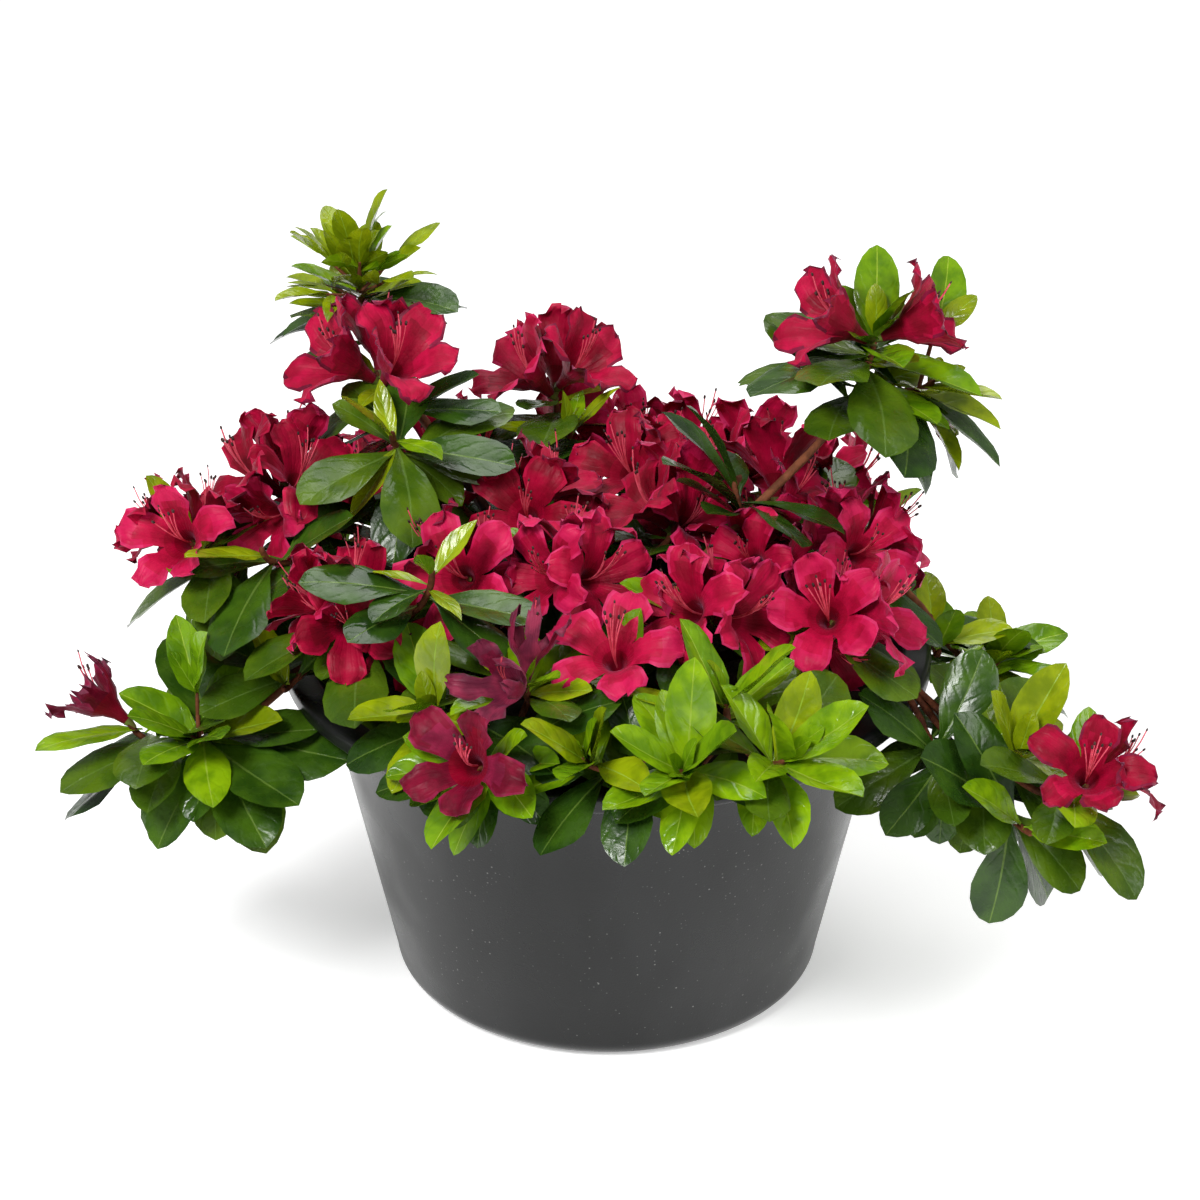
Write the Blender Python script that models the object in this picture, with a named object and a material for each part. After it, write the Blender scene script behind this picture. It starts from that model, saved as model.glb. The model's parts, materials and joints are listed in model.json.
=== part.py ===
"""A potted azalea: a low, wide shrub in flower, in a dark plastic bowl pot.

Metres, +Z up. The origin is the middle of the pot's flat underside. The shrub is read from
the front, along +Y, with +X to the right. Tables of shoots give places in millimetres.
"""

import math
import random

import bmesh
import bpy
from mathutils import Vector
from mathutils.bvhtree import BVHTree

MM = 0.001
GAP = 0.0003  # clearance between solids that rest on each other
CLEARANCE = 0.0005  # clearance between foliage and every other solid

# Pot
POT_HEIGHT = 0.133
POT_SIDES = 36
RIM_RADIUS = 0.120
RIM_INNER_RADIUS = 0.109
RIM_DEPTH = 0.0075
WALL_TOP_RADIUS = 0.106
WALL_FOOT_RADIUS = 0.0815
WALL_THICKNESS = 0.002
FLOOR_THICKNESS = 0.004
HEEL_ROUND = 0.008
HEEL_STEPS = 3
HEEL_INSET = 0.004  # how much further in the wall's inside is at the floor
RIM_ROUND = 0.002

# Compost
COMPOST_SIDES = 24
COMPOST_RINGS = 4
COMPOST_TOP = 0.110
COMPOST_FLAT = 0.016
COMPOST_EDGE_DROP = 0.003
COMPOST_LUMP = 0.0012

# Stem foot and boughs
FOOT_BOTTOM = COMPOST_TOP + GAP
FOOT_TOP = 0.150
FOOT_SIDES = 10
FOOT_FLARE = 0.0110
FOOT_WAIST = 0.0078
FOOT_TIP = 0.0060
FOOT_LEAN = Vector((0.002, -0.0015, 0))
FOOT_RINGS = (0, 0.08, 0.2, 0.45, 0.75, 1.0)
FLARE_FADE = 9  # how fast the root flare dies out up the foot
RIDGES = 4
RIDGE_HEIGHT = 0.0012
BOUGH_LEVELS = (0.1250, 0.1335, 0.1420)
BOUGH_SIDES = 6
BOUGH_RINGS = 6
BOUGH_ROOT = 0.0026
BOUGH_TIP = 0.0018

# Twigs
TWIG_SIDES = 3
TWIG_ROOT = 0.0020
TWIG_TIP = 0.0018
TWIG_FORKED = 0.0017  # a twig's root where it leaves its mass's stem
STEM_RINGS = 6
TWIG_RINGS = 5
TWIG_SWAY = 0.1

# Leaves. Width is over length; outline gives pairs of shares, along the length and of the
# half width; back is how far behind the shoot's tip the first and last leaf stand, and tilt
# how many degrees they lean from the shoot's axis.
OLD_LEAF = {
    "length": 0.045, "width": 0.50, "thick": 0.0013, "fold": 0.16, "droop": 0.16,
    "outline": ((0.36, 0.62), (0.74, 1.0)), "back": (0.007, 0.019), "tilt": (74, 100),
}
YOUNG_LEAF = {
    "length": 0.036, "width": 0.45, "thick": 0.0012, "fold": 0.20, "droop": 0.12,
    "outline": ((0.55, 1.0),), "back": (0.0015, 0.008), "tilt": (20, 82),
}
SPEAR_LEAF = {
    "length": 0.035, "width": 0.32, "thick": 0.0012, "fold": 0.22, "droop": 0.10,
    "outline": ((0.50, 1.0),), "back": (0.0015, 0.009), "tilt": (20, 92),
}
LEAF_SUNK = 0.0007  # how far a leaf's root passes the middle of its twig
LEAF_CREST = 0.58  # the share of its length where a leaf is thickest
LEAF_SIZES = (0.82, 1.10)
LEAF_TRIES = 9
LEAF_SHRINK = 0.03  # how much smaller each further try is
LEAF_SWING = 6  # degrees either way at the first try
LEAF_LOOSEN = 4  # degrees more at each further try
LEAF_OUTER = 0.22  # the root share of a leaf that may touch its own mass
FACE_INWARD = 0.55  # how far a leaf's face turns to its shoot's axis
FACE_SKY = 0.75  # and to the sky
GOLDEN_ANGLE = 137.5

# Flowers
LOBES = 5
LOBE_REACH = 0.0205
LOBE_WIDE = 0.0150
TIP_HEIGHT = 0.0245
SHOULDER_HEIGHT = 0.0212
NOTCH_RADIUS = 0.0078
NOTCH_HEIGHT = 0.0140
THROAT_HEIGHT = 0.0095
PETAL_THICK = 0.0012
SHOULDER_SHARE = 0.78  # of a lobe's reach
RIDGE_SHARE = 0.55
FLOWER_BACK = 0.0015  # from the shoot's tip to its first flower, and to each next one
FLOWER_SIZES = (0.96, 1.06)
FLOWER_TRIES = 30
FREE_TRIES = 24  # up to here a flower also keeps clear of its own mass
FLOWER_OUTER = 0.3  # the root share of a flower that may touch its own mass
FLOWER_SHRINK = 0.007
FLOWER_SWING = (4, 1.2)  # degrees at the first try, and more at each further one
FLOWER_NOD = (3, 0.8)

# Each mass of foliage: where its bough leaves the stem foot (turn in degrees and level, or
# None where the mass stands on the foot's own tip), where the bough ends, and its shoots.
# A shoot: tip, axis (towards, tilt), flowers (count, turn, tilt), young leaves, old leaves.
MASSES = {
    "dome_front": (None, None, [
        ((24, -12, 184), (0, 5), (3, 60, 42), 0, 1),
        ((36, -66, 173), (275, 28), (3, 200, 42), 2, 3),
        ((58, -36, 180), (300, 16), (3, 100, 42), 0, 1),
        ((4, -82, 158), (255, 42), (1, 90, 10), 2, 1),
    ]),
    "dome_left": ((240, 2), (-13, -22, 157), [
        ((-12, -46, 180), (255, 18), (3, 80, 42), 1, 1),
        ((-28, -2, 184), (140, 10), (3, 20, 42), 0, 1),
        ((-50, -38, 176), (215, 25), (3, 150, 42), 2, 2),
    ]),
    "dome_right": ((340, 1), (50, -18, 155), [
        ((80, -58, 168), (320, 28), (3, 350, 42), 3, 3),
        ((88, -10, 174), (0, 28), (3, 30, 42), 2, 2),
        ((62, 8, 184), (10, 10), (3, 100, 42), 0, 1),
    ]),
    "dome_back": ((50, 2), (20, 24, 158), [
        ((12, 34, 183), (90, 10), (3, 0, 42), 0, 1),
        ((54, 48, 178), (60, 18), (3, 80, 42), 1, 1),
        ((26, 76, 170), (90, 28), (3, 30, 42), 1, 2),
    ]),
    "upper_back": ((101, 2), (-12, 40, 165), [
        ((-20, 84, 199), (95, 12), (3, 330, 45), 2, 2),
        ((-14, 62, 190), (270, 25), (0, 0, 0), 6, 6),
    ]),
    "upper_left": ((186, 2), (-48, 4, 178), [
        ((-77, -4, 216), (275, 38), (0, 0, 0), 4, 9),
        ((-84, 28, 226), (150, 10), (3, 80, 46), 3, 3),
    ]),
    "crest_left": ((146, 2), (-60, 44, 188), [
        ((-93, 60, 252), (190, 6), (0, 0, 0), 18, 6),
    ]),
    "far_left": ((188, 1), (-84, -8, 166), [
        ((-118, 2, 192), (150, 15), (3, 80, 44), 2, 3),
        ((-150, -20, 182), (200, 22), (3, 20, 42), 3, 4),
        ((-122, -34, 184), (240, 22), (0, 0, 0), 1, 3),
    ]),
    "mid_left": ((226, 1), (-56, -44, 150), [
        ((-94, -56, 171), (205, 18), (4, 40, 44), 2, 5),
        ((-60, -70, 193), (260, 6), (0, 0, 0), 4, 1),
    ]),
    "crest_right": ((318, 2), (33, -30, 178), [
        ((95, 0, 252), (330, 8), (2, 5, 60), 8, 8),
        ((46, -28, 209), (30, 45), (0, 0, 0), 0, 6),
        ((116, 5, 232), (0, 48), (0, 0, 0), 5, 4),
    ]),
    "front_left": ((266, 1), (-24, -66, 146), [
        ((-28, -98, 164), (240, 15), (2, 60, 40), 5, 2),
        ((-42, -122, 145), (235, 62), (1, 0, 12), 7, 2),
        ((-60, -98, 154), (220, 35), (0, 0, 0), 6, 5),
    ]),
    "rim_front": ((285, 0), (36, -92, 148), [
        ((58, -124, 149), (310, 42), (0, 0, 0), 9, 2),
        ((24, -128, 147), (250, 46), (0, 0, 0), 9, 1),
        ((40, -106, 160), (285, 12), (0, 0, 0), 6, 0),
        ((-8, -120, 147), (235, 40), (0, 0, 0), 6, 1),
    ]),
    "low_left": ((199, 0), (-86, -32, 150), [
        ((-148, -55, 120), (250, 34), (0, 0, 0), 11, 7),
        ((-172, -44, 120), (175, 28), (1, 150, 30), 3, 4),
        ((-115, -50, 137), (285, 50), (0, 0, 0), 1, 4),
    ]),
    "low_right": ((326, 0), (86, -42, 150), [
        ((146, -64, 118), (288, 30), (0, 0, 0), 7, 8),
        ((168, -80, 114), (325, 36), (2, 210, 34), 4, 3),
        ((121, -76, 120), (285, 45), (0, 0, 0), 0, 5),
        ((148, -86, 99), (285, 72), (0, 0, 0), 2, 3),
    ]),
    "side_right": ((5, 0), (94, 12, 157), [
        ((148, 14, 116), (10, 22), (0, 0, 0), 9, 6),
        ((124, 4, 124), (320, 18), (0, 0, 0), 3, 1),
    ]),
    "back_left": ((132, 0), (-58, 60, 145), [
        ((-94, 92, 150), (135, 25), (3, 30, 44), 2, 3),
        ((-104, 52, 150), (165, 35), (0, 0, 0), 4, 4),
        ((-56, 62, 172), (120, 15), (3, 0, 44), 0, 2),
    ]),
    "back_middle": ((88, 1), (2, 72, 144), [
        ((8, 124, 150), (85, 35), (3, 60, 44), 2, 3),
        ((-40, 118, 146), (110, 30), (0, 0, 0), 5, 3),
    ]),
    "back_right": ((45, 0), (52, 48, 142), [
        ((84, 84, 152), (50, 25), (3, 0, 44), 2, 3),
        ((98, 62, 150), (30, 35), (0, 0, 0), 5, 3),
    ]),
}
BLOSSOM_MASSES = ("dome_front", "dome_left", "dome_right", "dome_back", "far_left", "upper_back")
SPEAR_MASSES = ("crest_left", "upper_left", "upper_back", "mid_left", "back_middle")
FORK_RINGS = {("crest_right", 2): 4}  # where a twig leaves its mass's stem later than others

placed = []  # (node, low corner, high corner, search tree) of every shape so far


def mix(low, high, share):
    return low + (high - low) * share


def clear_scene():
    for thing in list(bpy.data.objects):
        bpy.data.objects.remove(thing, do_unlink=True)


def material(name, colour, roughness, metallic=0.0):
    made = bpy.data.materials.new(name)
    made.use_nodes = True
    shader = made.node_tree.nodes["Principled BSDF"]
    shader.inputs["Base Color"].default_value = (*colour, 1)
    shader.inputs["Roughness"].default_value = roughness
    shader.inputs["Metallic"].default_value = metallic
    return made


def mesh_object(name, verts, faces, finish, smooth=False):
    mesh = bpy.data.meshes.new(name)
    mesh.from_pydata([tuple(v) for v in verts], [], faces)
    mesh.materials.append(finish)
    made = bpy.data.objects.new(name, mesh)
    bpy.context.scene.collection.objects.link(made)
    if smooth:
        mesh.shade_smooth()
        mesh.set_sharp_from_angle(angle=math.radians(40))
    return made


# Turned pieces


def spun(name, profile, sides, finish):
    """A solid turned once round the Z axis from (radius, height) pairs."""
    shape = bmesh.new()
    corners = [shape.verts.new((radius, 0, height)) for radius, height in profile]
    edges = [shape.edges.new(pair) for pair in zip(corners, corners[1:])]
    bmesh.ops.spin(
        shape, geom=corners + edges, cent=(0, 0, 0), axis=(0, 0, 1),
        angle=math.tau, steps=sides, use_merge=True,
    )
    bmesh.ops.remove_doubles(shape, verts=shape.verts, dist=1e-6)
    bmesh.ops.recalc_face_normals(shape, faces=shape.faces)
    mesh = bpy.data.meshes.new(name)
    shape.to_mesh(mesh)
    shape.free()
    mesh.materials.append(finish)
    mesh.shade_smooth()
    mesh.set_sharp_from_angle(angle=math.radians(35))
    made = bpy.data.objects.new(name, mesh)
    bpy.context.scene.collection.objects.link(made)
    return made


def wall_inner_radius(height):
    """The inside radius of the pot's wall at a height."""
    rise = (height - FLOOR_THICKNESS) / (POT_HEIGHT - RIM_DEPTH - FLOOR_THICKNESS)
    foot = WALL_FOOT_RADIUS - WALL_THICKNESS - HEEL_INSET
    return mix(foot, WALL_TOP_RADIUS - WALL_THICKNESS, rise)


def make_pot(finish):
    """A bowl pot with a flat foot, a rounded heel, a drafted wall and a wide rolled rim."""
    heel = []
    for step in range(HEEL_STEPS + 1):
        turn = math.radians(90 * step / HEEL_STEPS - 90)
        radius = WALL_FOOT_RADIUS - HEEL_ROUND + HEEL_ROUND * math.cos(turn)
        heel.append((radius, HEEL_ROUND + HEEL_ROUND * math.sin(turn)))
    under_rim = POT_HEIGHT - RIM_DEPTH
    profile = [(0, 0)] + heel + [
        (WALL_TOP_RADIUS, under_rim),
        (RIM_RADIUS - RIM_ROUND, under_rim),
        (RIM_RADIUS, under_rim + RIM_ROUND),
        (RIM_RADIUS, POT_HEIGHT - RIM_ROUND),
        (RIM_RADIUS - RIM_ROUND, POT_HEIGHT),
        (RIM_INNER_RADIUS, POT_HEIGHT),
        (WALL_TOP_RADIUS - WALL_THICKNESS, under_rim + MM),
        (wall_inner_radius(FLOOR_THICKNESS), FLOOR_THICKNESS),
        (0, FLOOR_THICKNESS),
    ]
    return spun("pot", profile, POT_SIDES, finish)


def make_compost(finish):
    """The root ball: it fills the pot to a lumpy top, flat only where the stem foot stands."""
    bottom = FLOOR_THICKNESS + GAP
    edge_top = COMPOST_TOP - COMPOST_EDGE_DROP
    edge = wall_inner_radius(edge_top) - 2 * GAP
    top = []
    for step in range(COMPOST_RINGS + 1):
        share = step / COMPOST_RINGS
        top.append((mix(edge, COMPOST_FLAT, share), edge_top + COMPOST_EDGE_DROP * share))
    profile = [(0, bottom), (wall_inner_radius(bottom) - 2 * GAP, bottom)]
    profile += top + [(0, COMPOST_TOP)]
    made = spun("compost", profile, COMPOST_SIDES, finish)
    lumps = random.Random(5)
    for vert in made.data.vertices:
        radius = math.hypot(vert.co.x, vert.co.y)
        if vert.co.z > edge_top - MM and COMPOST_FLAT + MM < radius < edge - MM:
            vert.co.z += lumps.uniform(-COMPOST_LUMP, COMPOST_LUMP)
    return made


# Limbs


def across(direction):
    """Two directions square to one, the first as level as it can be."""
    side = direction.cross(Vector((0, 0, 1)))
    if side.length < 0.05:
        side = direction.cross(Vector((0, 1, 0)))
    side.normalize()
    return side, side.cross(direction).normalized()


def curve(start, leaves, end, arrives, count, pull=0.36):
    """Points and directions on the smooth curve between two places."""
    reach = (end - start).length * pull
    a = start + leaves * reach
    b = end - arrives * reach
    points = []
    ways = []
    for step in range(count):
        t = step / (count - 1)
        u = 1 - t
        points.append(start * u**3 + a * 3 * u * u * t + b * 3 * u * t * t + end * t**3)
        way = (a - start) * u * u + (b - a) * 2 * u * t + (end - b) * t * t
        ways.append(way.normalized())
    return points, ways


def taper(count, root, tip):
    return [mix(root, tip, step / (count - 1)) for step in range(count)]


def limb_shape(points, ways, radii, sides):
    """A closed tapering tube whose first ring lies square to its first direction."""
    verts = []
    faces = []
    side, up = across(ways[0])
    for point, way, radius in zip(points, ways, radii):
        side = (side - way * side.dot(way)).normalized()
        up = side.cross(way).normalized()
        for index in range(sides):
            turn = math.tau * index / sides
            verts.append(point + (side * math.cos(turn) + up * math.sin(turn)) * radius)
    for ring in range(len(points) - 1):
        for index in range(sides):
            a = ring * sides + index
            b = ring * sides + (index + 1) % sides
            faces.append((a, a + sides, b + sides, b))
    faces.append(tuple(range(sides)))
    last = (len(points) - 1) * sides
    faces.append(tuple(reversed(range(last, last + sides))))
    return verts, faces


def foot_radius(height):
    """The stem foot's radius: a flared root and a steady taper above it."""
    rise = (height - FOOT_BOTTOM) / (FOOT_TOP - FOOT_BOTTOM)
    flare = (FOOT_FLARE - FOOT_WAIST) * math.exp(-rise * FLARE_FADE)
    return mix(FOOT_WAIST, FOOT_TIP, rise) + flare


def foot_middle(height):
    rise = (height - FOOT_BOTTOM) / (FOOT_TOP - FOOT_BOTTOM)
    return Vector((0, 0, height)) + FOOT_LEAN * rise


def make_stem_foot(finish):
    """The short trunk inside the shrub: flat cut, root flare with four ridges, taper, lean."""
    verts = []
    faces = []
    for share in FOOT_RINGS:
        height = mix(FOOT_BOTTOM, FOOT_TOP, share)
        for index in range(FOOT_SIDES):
            turn = math.tau * index / FOOT_SIDES
            ridge = RIDGE_HEIGHT * math.cos(RIDGES * turn) * math.exp(-share * FLARE_FADE)
            radius = foot_radius(height) + ridge
            spoke = Vector((math.cos(turn), math.sin(turn), 0))
            verts.append(foot_middle(height) + spoke * radius)
    for ring in range(len(FOOT_RINGS) - 1):
        for index in range(FOOT_SIDES):
            a = ring * FOOT_SIDES + index
            b = ring * FOOT_SIDES + (index + 1) % FOOT_SIDES
            faces.append((a, b, b + FOOT_SIDES, a + FOOT_SIDES))
    faces.append(tuple(reversed(range(FOOT_SIDES))))
    last = (len(FOOT_RINGS) - 1) * FOOT_SIDES
    faces.append(tuple(range(last, last + FOOT_SIDES)))
    return mesh_object("stem_foot", verts, faces, finish, smooth=True)


def place_of(triple):
    return Vector(triple) * MM


def axis_of(towards, tilt):
    turn = math.radians(towards)
    lean = math.radians(tilt)
    level = math.sin(lean)
    return Vector((level * math.cos(turn), level * math.sin(turn), math.cos(lean)))


def bough_route(mass):
    """Where a mass's bough starts and ends, with its direction at both."""
    rooting, end, shoots = MASSES[mass]
    if rooting is None:
        top = foot_middle(FOOT_TOP)
        return top, None, top, Vector((0, 0, 1))
    tip = place_of(shoots[0][0])
    turn, level = rooting
    height = BOUGH_LEVELS[level]
    spoke = axis_of(turn, 90)
    start = foot_middle(height) + spoke * (foot_radius(height - BOUGH_ROOT) + 2 * GAP)
    end = place_of(end)
    arrives = ((end - start).normalized() + (tip - end).normalized()).normalized()
    return start, spoke, end, arrives


def make_bough(mass, finish):
    start, leaves, end, arrives = bough_route(mass)
    points, ways = curve(start, leaves, end, arrives, BOUGH_RINGS)
    radii = taper(BOUGH_RINGS, BOUGH_ROOT, BOUGH_TIP)
    verts, faces = limb_shape(points, ways, radii, BOUGH_SIDES)
    return mesh_object("bough_" + mass, verts, faces, finish, smooth=True)


# Clearances


def swollen(verts, faces, by):
    """A shape's points, each moved out along its own normal."""
    normals = [Vector() for _ in verts]
    for face in faces:
        a, b, c = (verts[index] for index in face[:3])
        square = (b - a).cross(c - a).normalized()
        for index in face:
            normals[index] += square
    return [vert + normal.normalized() * by for vert, normal in zip(verts, normals)]


def corners_of(verts):
    low = Vector([min(v[axis] for v in verts) for axis in range(3)])
    high = Vector([max(v[axis] for v in verts) for axis in range(3)])
    return low, high


def remember(node, verts, faces):
    low, high = corners_of(verts)
    placed.append((node, low, high, BVHTree.FromPolygons(verts, faces)))


def meets(verts, faces, wanted):
    """True where a shape cuts through a shape placed earlier in one of the wanted nodes."""
    low, high = corners_of(verts)
    tree = None
    for node, other_low, other_high, other in placed:
        if not wanted(node):
            continue
        if any(low[i] > other_high[i] or high[i] < other_low[i] for i in range(3)):
            continue
        tree = tree or BVHTree.FromPolygons(verts, faces)
        if tree.overlap(other):
            return True
    return False


# Leaves and flowers, each in its own frame


def leaf_shape(kind, size, cut=0.0):
    """A lens-shaped blade along +X, its face up; cut is the share left off at its root."""
    length = kind["length"] * size
    half = length * kind["width"] / 2
    root = mix(-LEAF_SUNK, length, cut)

    def lifted(x, y):
        return -kind["droop"] * x * x / length + kind["fold"] * abs(y)

    verts = [Vector((root, 0, lifted(root, 0)))]
    right = []
    left = []
    for share, wide in kind["outline"]:
        x = length * max(share, cut + 0.1)
        for sign, row in ((-1, right), (1, left)):
            row.append(len(verts))
            verts.append(Vector((x, sign * half * wide, lifted(x, half * wide))))
    tip = len(verts)
    verts.append(Vector((length, 0, lifted(length, 0))))
    middle = length * LEAF_CREST
    for sign in (1, -1):
        lift = lifted(middle, 0) + sign * kind["thick"] / 2
        verts.append(Vector((middle, 0, lift)))
    edge = [0] + right + [tip] + left[::-1]
    faces = []
    for a, b in zip(edge, edge[1:] + edge[:1]):
        faces.append((tip + 1, a, b))
        faces.append((tip + 2, b, a))
    return verts, faces


def flower_shape(size, cut=0.0):
    """A five-sided funnel that opens along +Z from a pointed root into five lobes."""
    root = -MM + cut * NOTCH_HEIGHT
    verts = [Vector((0, 0, root)), Vector((0, 0, max(THROAT_HEIGHT, root + 2 * MM)))]
    faces = []

    def spot(turn, radius, height):
        turn = math.radians(turn)
        verts.append(Vector((radius * math.cos(turn), radius * math.sin(turn), height)))
        return len(verts) - 1

    step = 360 / LOBES
    shoulder = LOBE_REACH * SHOULDER_SHARE
    spread = math.degrees(math.asin(LOBE_WIDE / 2 / shoulder))
    chord = NOTCH_RADIUS * math.cos(math.radians(step / 2))
    middle = LOBE_REACH * RIDGE_SHARE
    slope = (TIP_HEIGHT - NOTCH_HEIGHT) / (LOBE_REACH - chord)
    middle_height = NOTCH_HEIGHT + slope * (middle - chord) + PETAL_THICK
    notches = [spot(step * (lobe - 0.5), NOTCH_RADIUS, NOTCH_HEIGHT) for lobe in range(LOBES)]
    for lobe in range(LOBES):
        turn = step * lobe
        first = notches[lobe]
        second = notches[(lobe + 1) % LOBES]
        left = spot(turn - spread, shoulder, SHOULDER_HEIGHT)
        tip = spot(turn, LOBE_REACH, TIP_HEIGHT)
        right = spot(turn + spread, shoulder, SHOULDER_HEIGHT)
        centre = spot(turn, middle, middle_height)
        rim = [1, first, left, tip, right, second]
        faces += [(centre, a, b) for a, b in zip(rim, rim[1:] + rim[:1])]
        faces += [(0, second, first), (first, second, tip)]
        faces += [(first, tip, left), (second, right, tip)]
    return [vert * size for vert in verts], faces


def set_down(verts, point, axes):
    """A shape moved to a point, with its own X, Y and Z along three directions."""
    x, y, z = axes
    return [point + x * v.x + y * v.y + z * v.z for v in verts]


# Growth


class Shoot:
    """One twig of a mass: its path, and the leaves and flowers that it should carry."""

    def __init__(self, mass, number, row, points):
        _, axis, blooms, young, old = row
        self.mass = mass
        self.chance = random.Random(f"{mass} {number}")
        self.points = points
        self.axis = axis_of(*axis)
        self.side = (Vector((1, 0, 0)) - self.axis * self.axis.x).normalized()
        self.up = self.axis.cross(self.side)
        self.bloom_count, self.bloom_turn, self.bloom_tilt = blooms
        self.young = young
        self.old = old

    def back(self, distance):
        """The point on the twig at a distance behind its tip."""
        left = distance
        for index in range(len(self.points) - 1, 0, -1):
            step = self.points[index - 1] - self.points[index]
            if step.length >= left:
                return self.points[index] + step.normalized() * left
            left -= step.length
        return self.points[0].copy()

    def heading(self, turn, tilt):
        turn = math.radians(turn)
        tilt = math.radians(tilt)
        spoke = self.side * math.cos(turn) + self.up * math.sin(turn)
        return (self.axis * math.cos(tilt) + spoke * math.sin(tilt)).normalized()


def grow_twigs(mass):
    """A mass's stem to its first shoot, and a twig from the stem to each other shoot."""
    shoots = MASSES[mass][2]
    _, _, end, arrives = bough_route(mass)
    chance = random.Random(mass)
    start = end + arrives * GAP
    first_tip, first_axis = shoots[0][:2]
    stem = curve(start, arrives, place_of(first_tip), axis_of(*first_axis), STEM_RINGS)
    grown = []
    for number, row in enumerate(shoots):
        points, ways = stem
        root = TWIG_ROOT
        if number:
            tip = place_of(row[0])
            fork = points[FORK_RINGS.get((mass, number), 2 if len(shoots) == 2 else 1)]
            leaves = (ways[1] + (tip - fork).normalized() * 2).normalized()
            leaves.z += chance.uniform(-TWIG_SWAY, TWIG_SWAY)
            points, ways = curve(fork, leaves.normalized(), tip, axis_of(*row[1]), TWIG_RINGS)
            root = TWIG_FORKED
        verts, faces = limb_shape(points, ways, taper(len(points), root, TWIG_TIP), TWIG_SIDES)
        wide = swollen(verts, faces, CLEARANCE)
        if number and meets(wide, faces, lambda node: node != mass):
            continue
        remember(mass, verts, faces)
        grown.append((Shoot(mass, number, row, points), (verts, faces)))
    return grown


def fits(shoot, verts, faces, outer, strict):
    """Clear of every other node and, in its outer part, of the rest of its own mass."""
    for shape in (verts, swollen(verts, faces, CLEARANCE)):
        if meets(shape, faces, lambda node: node != shoot.mass):
            return False
    return not (strict and meets(outer, faces, lambda node: node == shoot.mass))


def try_flower(shoot, number, attempt):
    """One try at a flower: the whole shape and its outer part, turned a little by chance."""
    chance = shoot.chance
    turn = shoot.bloom_turn + 360 * number / shoot.bloom_count
    turn += chance.uniform(-1, 1) * (FLOWER_SWING[0] + attempt * FLOWER_SWING[1])
    tilt = shoot.bloom_tilt + chance.uniform(-0.6, 1) * (FLOWER_NOD[0] + attempt * FLOWER_NOD[1])
    size = chance.uniform(*FLOWER_SIZES) - FLOWER_SHRINK * attempt
    forward = shoot.heading(turn, tilt)
    spin = math.radians(chance.uniform(0, 360 / LOBES))
    side, up = across(forward)
    side = side * math.cos(spin) + up * math.sin(spin)
    root = shoot.back(FLOWER_BACK * (number + 1))
    verts, faces = flower_shape(size)
    outer, _ = flower_shape(size, FLOWER_OUTER)
    across_side = forward.cross(side)
    return [set_down(shape, root, (side, across_side, forward)) for shape in (verts, outer)], faces


def try_leaf(shoot, kind, turn, share, attempt):
    """One try at a leaf: the whole blade and its outer part."""
    chance = shoot.chance
    loose = LEAF_SWING + LEAF_LOOSEN * attempt
    size = chance.uniform(*LEAF_SIZES) * (1 - LEAF_SHRINK * attempt)
    turn += chance.uniform(-1, 1) * loose
    tilt = mix(*kind["tilt"], share) + chance.uniform(-1, 1) * loose
    forward = shoot.heading(turn, tilt)
    inward = shoot.axis - forward * shoot.axis.dot(forward)
    sky = Vector((0, 0, 1)) - forward * forward.z
    upward = inward.normalized() * FACE_INWARD + sky * FACE_SKY
    side = upward.cross(forward).normalized()
    upward = forward.cross(side)
    root = shoot.back(mix(*kind["back"], share))
    verts, faces = leaf_shape(kind, size)
    outer, _ = leaf_shape(kind, size, LEAF_OUTER)
    return [set_down(shape, root, (forward, side, upward)) for shape in (verts, outer)], faces


def grow_flowers(shoot):
    """A truss at the shoot's tip; each flower turns until it clears its neighbours."""
    made = []
    for number in range(shoot.bloom_count):
        for attempt in range(FLOWER_TRIES):
            (verts, outer), faces = try_flower(shoot, number, attempt)
            if fits(shoot, verts, faces, outer, attempt < FREE_TRIES):
                remember(shoot.mass, verts, faces)
                made.append((verts, faces))
                break
    return made


def grow_leaves(shoot, kind):
    """A whorl that climbs the shoot by the golden angle; a leaf that never fits is skipped."""
    made = []
    count = shoot.old if kind is OLD_LEAF else shoot.young
    if kind is YOUNG_LEAF and shoot.mass in SPEAR_MASSES:
        kind = SPEAR_LEAF
    phase = shoot.chance.uniform(0, 360)
    for number in range(count):
        turn = phase + number * GOLDEN_ANGLE
        for attempt in range(LEAF_TRIES):
            (verts, outer), faces = try_leaf(shoot, kind, turn, (number + 0.5) / count, attempt)
            if fits(shoot, verts, faces, outer, True):
                remember(shoot.mass, verts, faces)
                made.append((verts, faces))
                break
    return made


# Joining


def outer_skin(mesh):
    """Keeps the largest shell and drops sealed hollows and loose scraps."""
    shape = bmesh.new()
    shape.from_mesh(mesh)
    waiting = set(shape.faces)
    shells = []
    while waiting:
        front = [waiting.pop()]
        shell = list(front)
        while front:
            face = front.pop()
            for edge in face.edges:
                for other in edge.link_faces:
                    if other in waiting:
                        waiting.remove(other)
                        front.append(other)
                        shell.append(other)
        shells.append(shell)
    shells.sort(key=len, reverse=True)
    for shell in shells[1:]:
        bmesh.ops.delete(shape, geom=shell, context="FACES")
    bmesh.ops.triangulate(shape, faces=shape.faces)
    shape.to_mesh(mesh)
    shape.free()


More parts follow.
